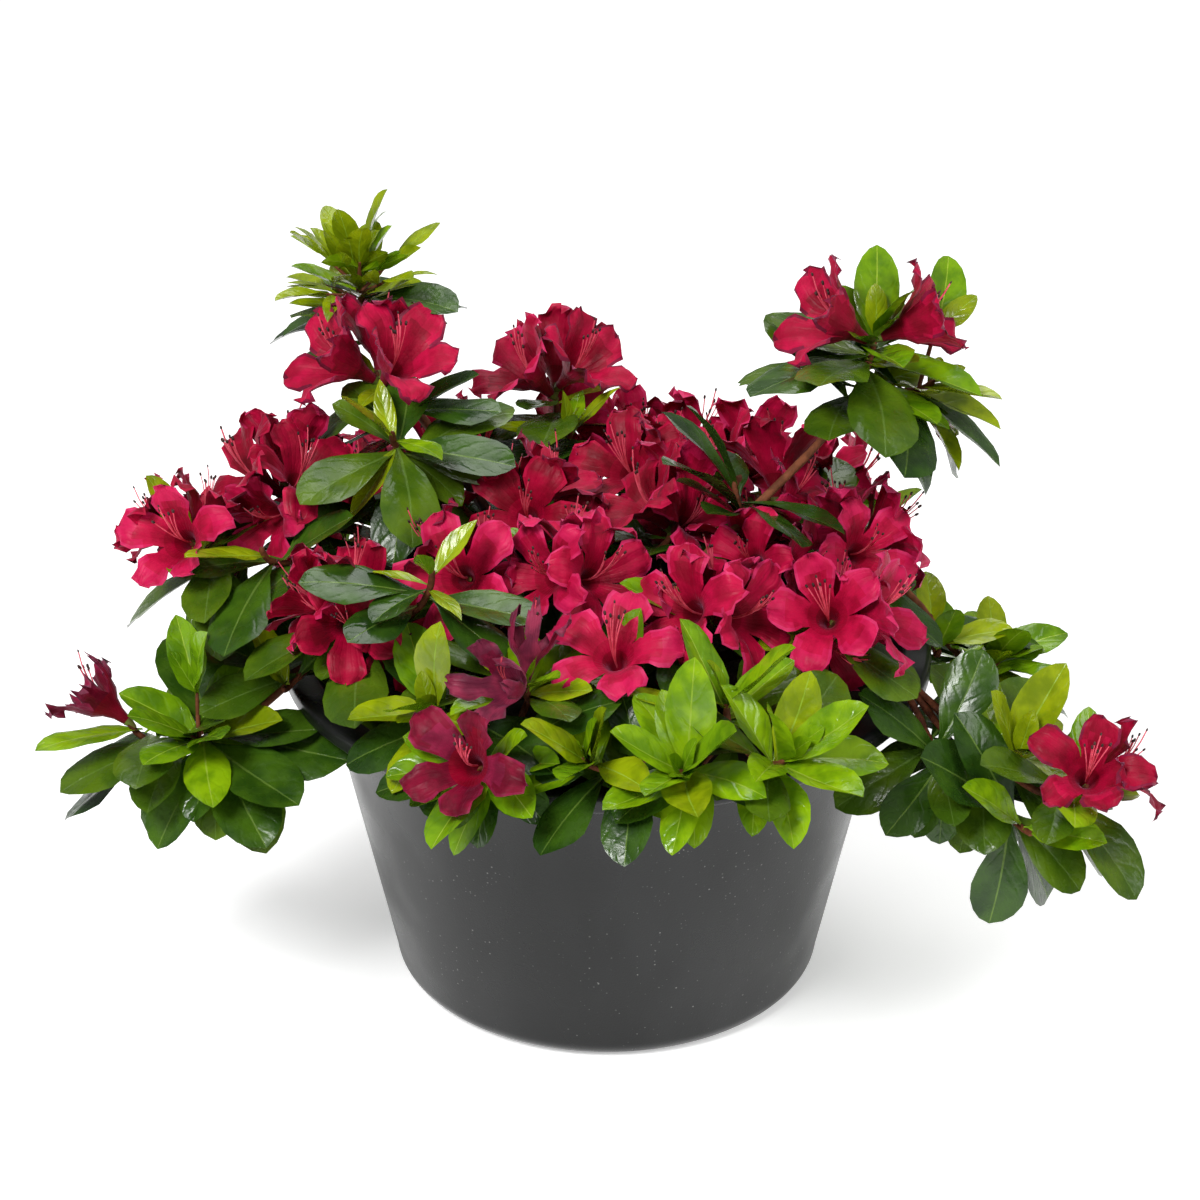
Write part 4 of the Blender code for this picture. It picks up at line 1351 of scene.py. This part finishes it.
corolla = {
    "rows": (  # radius, height and half width in mm; the first five rows are the closed tube
        (0, -1.0, 0), (1.8, 3.0, 0), (2.6, 7.0, 0), (4.4, 10.8, 0), (7.2, 13.8, 0),
        (9.9, 16.4, 5.6), (12.7, 18.7, 7.1), (15.5, 20.7, 7.9), (18.2, 22.1, 7.5),
        (20.1, 22.8, 5.9), (21.3, 23.0, 3.7), (21.9, 23.0, 0),
    ),
    "tubeRows": 4,
    "columns": (-1, -0.84, -0.55, -0.26, 0, 0.26, 0.55, 0.84, 1),
    "crease": 1.1 * mm,
    "puff": 0.7 * mm,
    "streak": 1.1 * mm,
    "ruffle": 2.1 * mm,
    "crumple": 1.3 * mm,
    "ragged": 0.09,  # share by which a lobe's outline wanders
    "kinds": {"fresh": 8, "cupped": 5, "tired": 4, "withered": 3},  # how many different flowers of each
}


def lobeSpot(row, column, form):
    # one point of a lobe that points along X, in the flower's own frame
    radius, height, half = (value * mm for value in corolla["rows"][row])
    notch = corolla["tubeRows"]
    if row <= notch:
        turn = math.radians(36) * column
        return radius * math.cos(turn), radius * math.sin(turn), height
    base = corolla["rows"][notch]
    out, rise = radius - base[0] * mm, height - base[1] * mm
    share = (row - notch) / (len(corolla["rows"]) - 1 - notch)
    pitch = math.radians(form["open"] + form["curl"] * share)
    radius = base[0] * mm + (out * math.cos(pitch) + rise * math.sin(pitch)) * form["long"]
    height = base[1] * mm + (rise * math.cos(pitch) - out * math.sin(pitch)) * form["long"]
    side = 2.6 if column > 0 else 0.0
    half *= form["wide"] * (1 + corolla["ragged"] * math.sin(row * 1.7 + form["phase"] * 3 + side))
    bend = radius * (1 + 2.2 * share)
    turn = column * half / bend
    x = radius - bend * (1 - math.cos(turn))
    y = bend * math.sin(turn)
    height -= corolla["crease"] * min(1, share * 1.6) * math.exp(-(column / 0.22) ** 2)
    height += corolla["puff"] * math.sin(abs(column) * math.pi)
    fold = Vector((column * 2.7, form["phase"] * 7, share * 0.6))
    height += corolla["streak"] * noise.noise(fold) * min(1, share * 1.6)
    spot = Vector((row * 0.42, column * 1.5, form["phase"] * 5))
    height += corolla["crumple"] * noise.noise(spot) * min(1, share * 1.8) * form["ruffle"]
    margin = abs(column) ** 3 * min(1, share * 1.3)
    wave = math.sin(row * 1.9 + form["phase"] + (2.1 if column > 0 else 0))
    height += corolla["ruffle"] * form["ruffle"] * margin * wave
    height += form["roll"] * y * share
    y += form["sway"] * (radius - base[0] * mm) * share
    return x, y, height


lobeKinds = {  # ranges of opening, curl, width, length and ruffle, then most roll and sway
    "fresh": ((-8, 8), (0, 34), (0.92, 1.10), (0.93, 1.04), (0.6, 1.4), 0.2, 0.12),
    "cupped": ((-34, -14), (0, 24), (1.0, 1.14), (0.98, 1.06), (0.8, 1.5), 0.22, 0.12),
    "tired": ((-26, 0), (-6, 44), (0.80, 1.02), (0.94, 1.06), (1.0, 1.8), 0.32, 0.18),
    "withered": ((-34, 12), (-40, 50), (0.34, 0.62), (0.72, 0.98), (1.8, 1.8), 0.7, 0.3),
}


def lobeForm(kind, chance, openness):
    opens, curls, wides, longs, ruffles, roll, sway = lobeKinds[kind]
    return {
        "open": chance.uniform(*opens) + openness, "curl": chance.uniform(*curls),
        "wide": chance.uniform(*wides), "long": chance.uniform(*longs),
        "phase": chance.uniform(0, math.tau), "ruffle": chance.uniform(*ruffles),
        "roll": chance.uniform(-roll, roll), "sway": chance.uniform(-sway, sway),
    }


petalZones = {"inner": 0, "rim": 1, "throat": 2, "blotch": 3, "outer": 4, "side": 5}


def petalZone(lobe, row, column):
    # which paint a face takes; column is its distance from the lobe's middle line, up to 1
    lastRow, columnCount = len(corolla["rows"]) - 1, len(corolla["columns"]) - 1
    # the tube rows take the throat paint: the flower's deeper colour, darkened further as painted shade
    # inside the funnel
    if row < 3:
        return "throat"
    if row < 4:
        return "blotch"
    # rim faces: on fresh flowers a paler rose, partly a painted sheen along the edge; on worn flowers a
    # darker worn tone
    if row > 5.9 and (column > 1 - 1.5 / columnCount or row > lastRow - 1):
        return "rim"
    if lobe == 0 and row + 5 * column * column < 6.7:
        return "blotch"
    if row + 2.5 * column * column > 7.4:
        return "outer"
    return "side" if lobe in (1, 4) else "inner"


def makeCorolla(variant, kind):
    chance = random.Random(f"corolla {variant} {kind}")
    whole = bmesh.new()
    flat = whole.loops.layers.uv.new("flat")
    rowCount, columnCount = len(corolla["rows"]) - 1, len(corolla["columns"]) - 1
    openness = chance.uniform(-16, 8) if kind == "fresh" else 0
    for lobe in range(5):
        form = lobeForm(kind, chance, openness)
        made = bmesh.ops.create_grid(whole, x_segments=rowCount, y_segments=columnCount, size=1)
        faces = {face for vert in made["verts"] for face in vert.link_faces}
        for face in faces:
            middle = face.calc_center_median()
            zone = petalZone(lobe, (middle.x + 1) / 2 * rowCount, abs(middle.y))
            face.material_index = petalZones[zone]
            for loop in face.loops:
                loop[flat].uv = ((loop.vert.co.y + 1) / 2, (loop.vert.co.x + 1) / 2)
        turn = math.radians(72 * lobe)
        for vert in made["verts"]:
            row = round((vert.co.x + 1) / 2 * rowCount)
            column = corolla["columns"][round((vert.co.y + 1) / 2 * columnCount)]
            x, y, z = lobeSpot(row, column, form)
            turnedX = x * math.cos(turn) - y * math.sin(turn)
            turnedY = x * math.sin(turn) + y * math.cos(turn)
            vert.co = (turnedX, turnedY, z)
    bmesh.ops.remove_doubles(whole, verts=whole.verts, dist=1e-5)
    return readShape(whole)


stamens = {
    "count": 6,
    "reach": (25.5, 30.5),  # mm up the flower's axis
    "lean": (4.0, 8.5),  # mm towards the upper lobe
    "thick": (0.34, 0.24),  # radius in mm at the foot and at the anther
    "left": 2,  # how many a withered flower keeps
    "start": 6.0,  # mm up the axis
    "steps": 6,
    "apart": (1.5, 0.7),  # mm between neighbours, and how far each strays from that
    "style": (33.0, 9.0),
    "styleThick": 1.15,
    "stigma": 0.8,  # against an anther
    "anther": (0.55 * mm, 1.0 * mm),
    "antherSizes": (0.85, 1.1),
}


def makeStamens(flower, tone, strands, anthers):
    root, axes, size = flower
    x, y, z = axes
    chance = random.Random(f"stamens {root.x:.5f} {root.y:.5f}")
    count = stamens["left" if tone == "withered" else "count"]
    steps, (apart, stray) = stamens["steps"], stamens["apart"]

    def spot(a, b, c):
        return root + (x * a + y * b + z * c) * mm * size

    for number in range(count + 1):
        isStyle = number == count
        high = stamens["style"][0] if isStyle else chance.uniform(*stamens["reach"])
        lean = stamens["style"][1] if isStyle else chance.uniform(*stamens["lean"])
        aside = 0 if isStyle else (number - (count - 1) / 2) * apart + chance.uniform(-stray, stray)
        strand = []
        for step in range(steps + 1):
            t = step / steps
            out = lean * (t * t * 1.5 - 0.5 * t) + 0.4
            rise = mixed(stamens["start"], high, t) - 1.2 * max(0, t - 0.75) * lean / 6
            radius = mixed(*stamens["thick"], t) * (stamens["styleThick"] if isStyle else 1.0) * size
            strand.append((spot(out, aside * t * t, rise), radius))
        strands.append(strand)
        tip, before = strand[-1][0], strand[-2][0]
        forward = (tip - before).normalized()
        side, up = across(forward)
        share = stamens["stigma"] if isStyle else 1.0
        anthers.append((tip, (side, up, forward), share * size * chance.uniform(*stamens["antherSizes"])))


def tubes(name, strands, sides, paints, replaced, relief=None):
    # tapering round limbs along lists of (place, radius in mm); each strand names its paint
    line = bpy.data.curves.new(name, "CURVE")
    line.dimensions = "3D"
    line.bevel_depth = mm
    line.bevel_resolution = (sides - 4) // 2
    line.use_fill_caps = True
    for paint in paints:
        line.materials.append(finishes[paint])
    for strand, paint in strands:
        spline = line.splines.new("POLY")
        spline.points.add(len(strand) - 1)
        spline.use_smooth = True
        spline.material_index = paint
        for point, (place, radius) in zip(spline.points, strand):
            point.co = (*place, 1)
            point.radius = radius
    drawn = bpy.data.objects.new(name + "Line", line)
    bpy.context.scene.collection.objects.link(drawn)
    graph = bpy.context.evaluated_depsgraph_get()
    mesh = bpy.data.meshes.new_from_object(drawn.evaluated_get(graph))
    mesh.name = name
    bpy.data.objects.remove(drawn)
    bpy.data.curves.remove(line)
    if relief:
        raiseBark(mesh, relief)
    print(name, "has", sum(len(face.vertices) - 2 for face in mesh.polygons), "triangles")
    addPiece(name, mesh, replaced)


def raiseBark(mesh, relief):
    shape = bmesh.new()
    shape.from_mesh(mesh)
    shape.normal_update()
    floorLevel = growth["footBottom"] + 0.4 * mm
    for vert in shape.verts:
        if vert.co.z < floorLevel:
            continue
        ridges = noise.fractal(vert.co * relief["scale"], 0.8, 2.1, 4)
        vert.co += vert.normal * ridges * relief["depth"]
    shape.to_mesh(mesh)
    shape.free()


# trunk, boughs and twigs

wood = {
    "footPoints": 26,
    "boughPoints": 30,
    "twigPoints": 18,
    "collar": 0.9,  # how much thicker a bough starts, in mm
    "collarPoints": 5,
    "inside": 0.55,  # how deep in the stem foot a bough is drawn from, as a share of its radius
    "node": 0.22,  # swelling at each leaf scar, in mm
    "twigThin": 0.74,  # the drawn twig's radius against the solid's
    "stemThin": 0.88,
    "twigEnd": 1.15 * mm,
    "relief": {"scale": 420.0, "depth": 0.55 * mm},
    "twigRelief": {"scale": 900.0, "depth": 0.12 * mm},
    "wander": 0.5 * mm,
}


def limbStrand(start, leaves, end, arrives, radii, count, seed):
    places, ways = swept(start, leaves, end, arrives, count)
    strand = []
    for index, (place, way) in enumerate(zip(places, ways)):
        share = index / (count - 1)
        side, up = across(way)
        fade = math.sin(math.pi * share) * wood["wander"]
        drift = noise.noise(Vector((share * 5, seed, 0.3))), noise.noise(Vector((share * 5, seed, 7.7)))
        radius = mixed(*radii, share) / mm
        radius += wood["node"] * (0.5 + 0.5 * math.sin(share * 44 + seed)) ** 6
        strand.append((place + (side * drift[0] + up * drift[1]) * fade, radius))
    return strand


def makeWood():
    low, high = growth["footBottom"], growth["footTop"]
    steps, wide, collar = wood["footPoints"] - 1, wood["collarPoints"], wood["collar"]
    levels = [mixed(low, high, step / steps) for step in range(steps + 1)]
    strands = [([(footMiddle(level), footRadius(level) / mm) for level in levels], 0)]
    for number, mass in enumerate(masses):
        start, leaves, end, arrives = boughRoute(mass)
        if leaves is None:
            continue
        inner = start - leaves * (footRadius(start.z) * wood["inside"])
        radii = (growth["boughRoot"], growth["boughTip"])
        strand = limbStrand(start, leaves, end, arrives, radii, wood["boughPoints"], number)
        for index in range(wide):
            place, radius = strand[index]
            strand[index] = (place, radius + collar * (1 - index / wide) ** 2)
        strands.append(([(inner, growth["boughRoot"] / mm + collar)] + strand, 0))
    replaced = [node for node in solids if node not in ("pot", "compost")]
    tubes("woodyLimbs", strands, 14, ["bark"], replaced, wood["relief"])


foliageNodes = ["foliage_" + mass for mass in masses]
makeWood()


def makeTwigs():
    strands = []
    for number, shoot in enumerate(shoots):
        start, leaves, end, arrives, root = shoot.route
        radii = (root * wood["twigThin" if shoot.number else "stemThin"], wood["twigEnd"])
        strand = limbStrand(start - leaves * mm, leaves, end, arrives, radii, wood["twigPoints"],
                            number + 40)
        tip, radius = strand[-1]
        strand.append((tip + shoot.axis * 1.0 * mm, radius * 0.75))
        strand.append((tip + shoot.axis * 1.8 * mm, radius * 0.25))
        strands.append((strand, 1 if shoot.young > 5 else 0))
    strands += [(strand, 1) for strand in sideTwigs]
    tubes("youngTwigs", strands, 8, ["twigRed", "twigPink"], foliageNodes, wood["twigRelief"])


# colours dealt out by spray

bloomTones = {
    ("front_left", 0): "withered", ("front_left", 1): "ruby", ("low_left", 1): "fading",
    ("low_right", 1): "aged", ("crest_right", 0): "worn", ("upper_left", 1): "worn",
}
bloomKinds = {
    ("front_left", 0): "withered", ("front_left", 1): "tired", ("low_left", 1): "withered",
    ("low_right", 1): "tired", ("crest_right", 0): "cupped", ("far_left", 1): "tired",
    ("upper_left", 1): "cupped", ("upper_back", 0): "cupped",
}
bloomPalettes = {  # places in petalPaints, in the order of petalZones
    "bright": (0, 5, 7, 8, 1, 0), "fresh": (2, 5, 7, 8, 0, 0), "deep": (2, 0, 7, 8, 2, 7),
    "ruby": (9, 3, 7, 7, 9, 3), "fading": (3, 6, 7, 7, 3, 9), "aged": (0, 3, 7, 8, 2, 2),
    "withered": (4, 6, 4, 4, 4, 3), "worn": (0, 3, 7, 8, 0, 2),
}
# the rim rose paint is partly a painted sheen on the lobe edges
# the throat paint is partly painted shade inside the funnel
petalPaints = ["petalFresh", "petalBright", "petalDeep", "petalFading", "petalWithered",
               "rimRoseSheen", "rimWorn", "petalThroatShade", "petalBlotch", "petalRuby"]
leafPaints = {
    "old": ["leafDark", "leafDeep", "leafMoss", "leafRib"],
    "young": ["limeBright", "limeMid", "limeGold", "limeRib"],
}
goldenSprays = {  # which young paint leads in a mass
    "crest_left": 2, "upper_left": 2, "upper_back": 2, "rim_front": 0,
}


def bloomTone(shoot, chance):
    fixed = bloomTones.get((shoot.mass, shoot.number))
    return fixed or chance.choices(("bright", "fresh", "deep", "worn"), (4, 5, 2, 1))[0]


def upperLobe(axes):
    # turns a flower about its own axis until its marked lobe is the highest
    x, y, z = axes
    lobes = [x * math.cos(turn) + y * math.sin(turn) for turn in (math.radians(72 * k) for k in range(5))]
    marked = max(lobes, key=lambda lobe: lobe.z)
    return marked, z.cross(marked), z


cupSize = {"foot": 0.7 * mm, "mouth": 2.1 * mm, "depth": 4 * mm, "rise": 0.8 * mm, "sides": 8}


def makeFlowers():
    corollas = {
        kind: [makeCorolla(variant, kind) for variant in range(count)]
        for kind, count in corolla["kinds"].items()
    }
    cup = bmesh.new()
    bmesh.ops.create_cone(
        cup, cap_ends=False, segments=cupSize["sides"],
        radius1=cupSize["foot"], radius2=cupSize["mouth"], depth=cupSize["depth"],
    )
    bmesh.ops.translate(cup, verts=cup.verts, vec=(0, 0, cupSize["rise"]))
    cup = readShape(cup)
    grain = bmesh.new()
    bmesh.ops.create_icosphere(grain, subdivisions=1, radius=1.0)
    radius, length = stamens["anther"]
    bmesh.ops.scale(grain, verts=grain.verts, vec=(radius, radius, length))
    grain = readShape(grain)
    petals, cups, strands, anthers = [], [], [], []
    for number, (shoot, root, axes, size) in enumerate(flowers):
        chance = random.Random(f"bloom {number}")
        tone = bloomTone(shoot, chance)
        axes = upperLobe(axes)
        kind = bloomKinds.get((shoot.mass, shoot.number), "fresh")
        shape = chance.choice(corollas[kind])
        petals.append((shape, root, axes, size, bloomPalettes[tone]))
        cups.append((cup, root, axes, size, (0,)))
        makeStamens((root, axes, size), tone, strands, anthers)
    plantOut("petals", petals, petalPaints, foliageNodes)
    plantOut("flowerCups", cups, ["sepal"], foliageNodes)
    tubes("filaments", [(strand, 0) for strand in strands], 4, ["filament"], foliageNodes)
    grains = [(grain, root, axes, size, (0,)) for root, axes, size in anthers]
    plantOut("anthers", grains, ["anther"], foliageNodes)


def makeLeaves(kind, name):
    shapes = {form: [makeBlade(form, variant) for variant in range(6)] for form in leafForms[kind]}
    sprigs = []
    for number, (form, shoot, root, axes, size) in enumerate(leaves[kind]):
        chance = random.Random(f"{kind} {number}")
        spray = random.Random(f"{shoot.mass} {shoot.number} {kind}").randrange(3)
        spray = goldenSprays.get(shoot.mass, spray) if kind == "young" else spray
        tone = spray if chance.random() < 0.7 else chance.randrange(3)
        sprigs.append((chance.choice(shapes[form]), root, axes, size, (tone, 3)))
    plantOut(name, sprigs, leafPaints[kind], foliageNodes)


leafForms = {"old": ("old",), "young": ("young", "spear")}
makeTwigs()
makeFlowers()
makeLeaves("old", "oldLeaves")
makeLeaves("young", "youngLeaves")


# compost

bed = {
    "top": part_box("compost")[1].z,
    "steps": 120,
    "rings": 34,
    "sideGap": 0.5 * mm,  # to the pot's wall
    "edgeDrop": 3 * mm,  # how much lower the surface is there
    "foot": 0.76,  # the bottom's radius against the top's
    "lump": 1.6 * mm,
    "crumbs": 1500,
    "crumbSize": (0.6 * mm, 1.9 * mm),
}


def makeCompost():
    low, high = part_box("compost")
    edge = high.x - bed["sideGap"]
    edgeTop = bed["top"] - bed["edgeDrop"]
    profile = [(0, low.z), (edge * bed["foot"], low.z), (edge, edgeTop - 1 * mm)]
    for ring in range(bed["rings"] + 1):
        share = ring / bed["rings"]
        profile.append((edge * (1 - share) - (0.3 * mm if share == 0 else 0),
                        mixed(edgeTop, bed["top"] - 0.5 * mm, share)))
    profile[-1] = (0, profile[-1][1])
    shape = turned(profile, bed["steps"])
    for vert in shape.verts:
        if vert.co.z > edgeTop - 0.5 * mm:
            lump = noise.fractal(vert.co * 90, 0.9, 2.0, 5)
            vert.co.z += lump * bed["lump"]
            vert.co.z = min(vert.co.z, bed["top"] + 0.4 * mm)
    mesh = bpy.data.meshes.new("peatBed")
    shape.to_mesh(mesh)
    shape.free()
    mesh.materials.append(finishes["peat"])
    addPiece("peatBed", mesh, ["compost"])
    tree = BVHTree.FromPolygons([v.co for v in mesh.vertices], [p.vertices for p in mesh.polygons])
    crumb = bmesh.new()
    bmesh.ops.create_icosphere(crumb, subdivisions=1, radius=1.0)
    for vert in crumb.verts:
        vert.co *= 1 + 0.28 * noise.noise(vert.co * 2.3)
    crumb = readShape(crumb)
    chance = random.Random("crumbs")
    sprigs = []
    for _ in range(bed["crumbs"]):
        radius, turn = edge * 0.97 * math.sqrt(chance.random()), chance.uniform(0, math.tau)
        spot = Vector((radius * math.cos(turn), radius * math.sin(turn), bed["top"] + 5 * mm))
        hit = tree.ray_cast(spot, -upright)[0]
        forward = axisOf(chance.uniform(0, 360), chance.uniform(0, 90))
        side, up = across(forward)
        size = chance.uniform(*bed["crumbSize"]) * chance.uniform(0.5, 1)
        axes = (forward * chance.uniform(0.6, 1.4), side, up * chance.uniform(0.6, 1.1))
        sprigs.append((crumb, hit, axes, size, (chance.choices((0, 1), (4, 1))[0],)))
    plantOut("peatCrumbs", sprigs, ["peat", "fibre"], ["compost"])


makeCompost()
print("compost made")
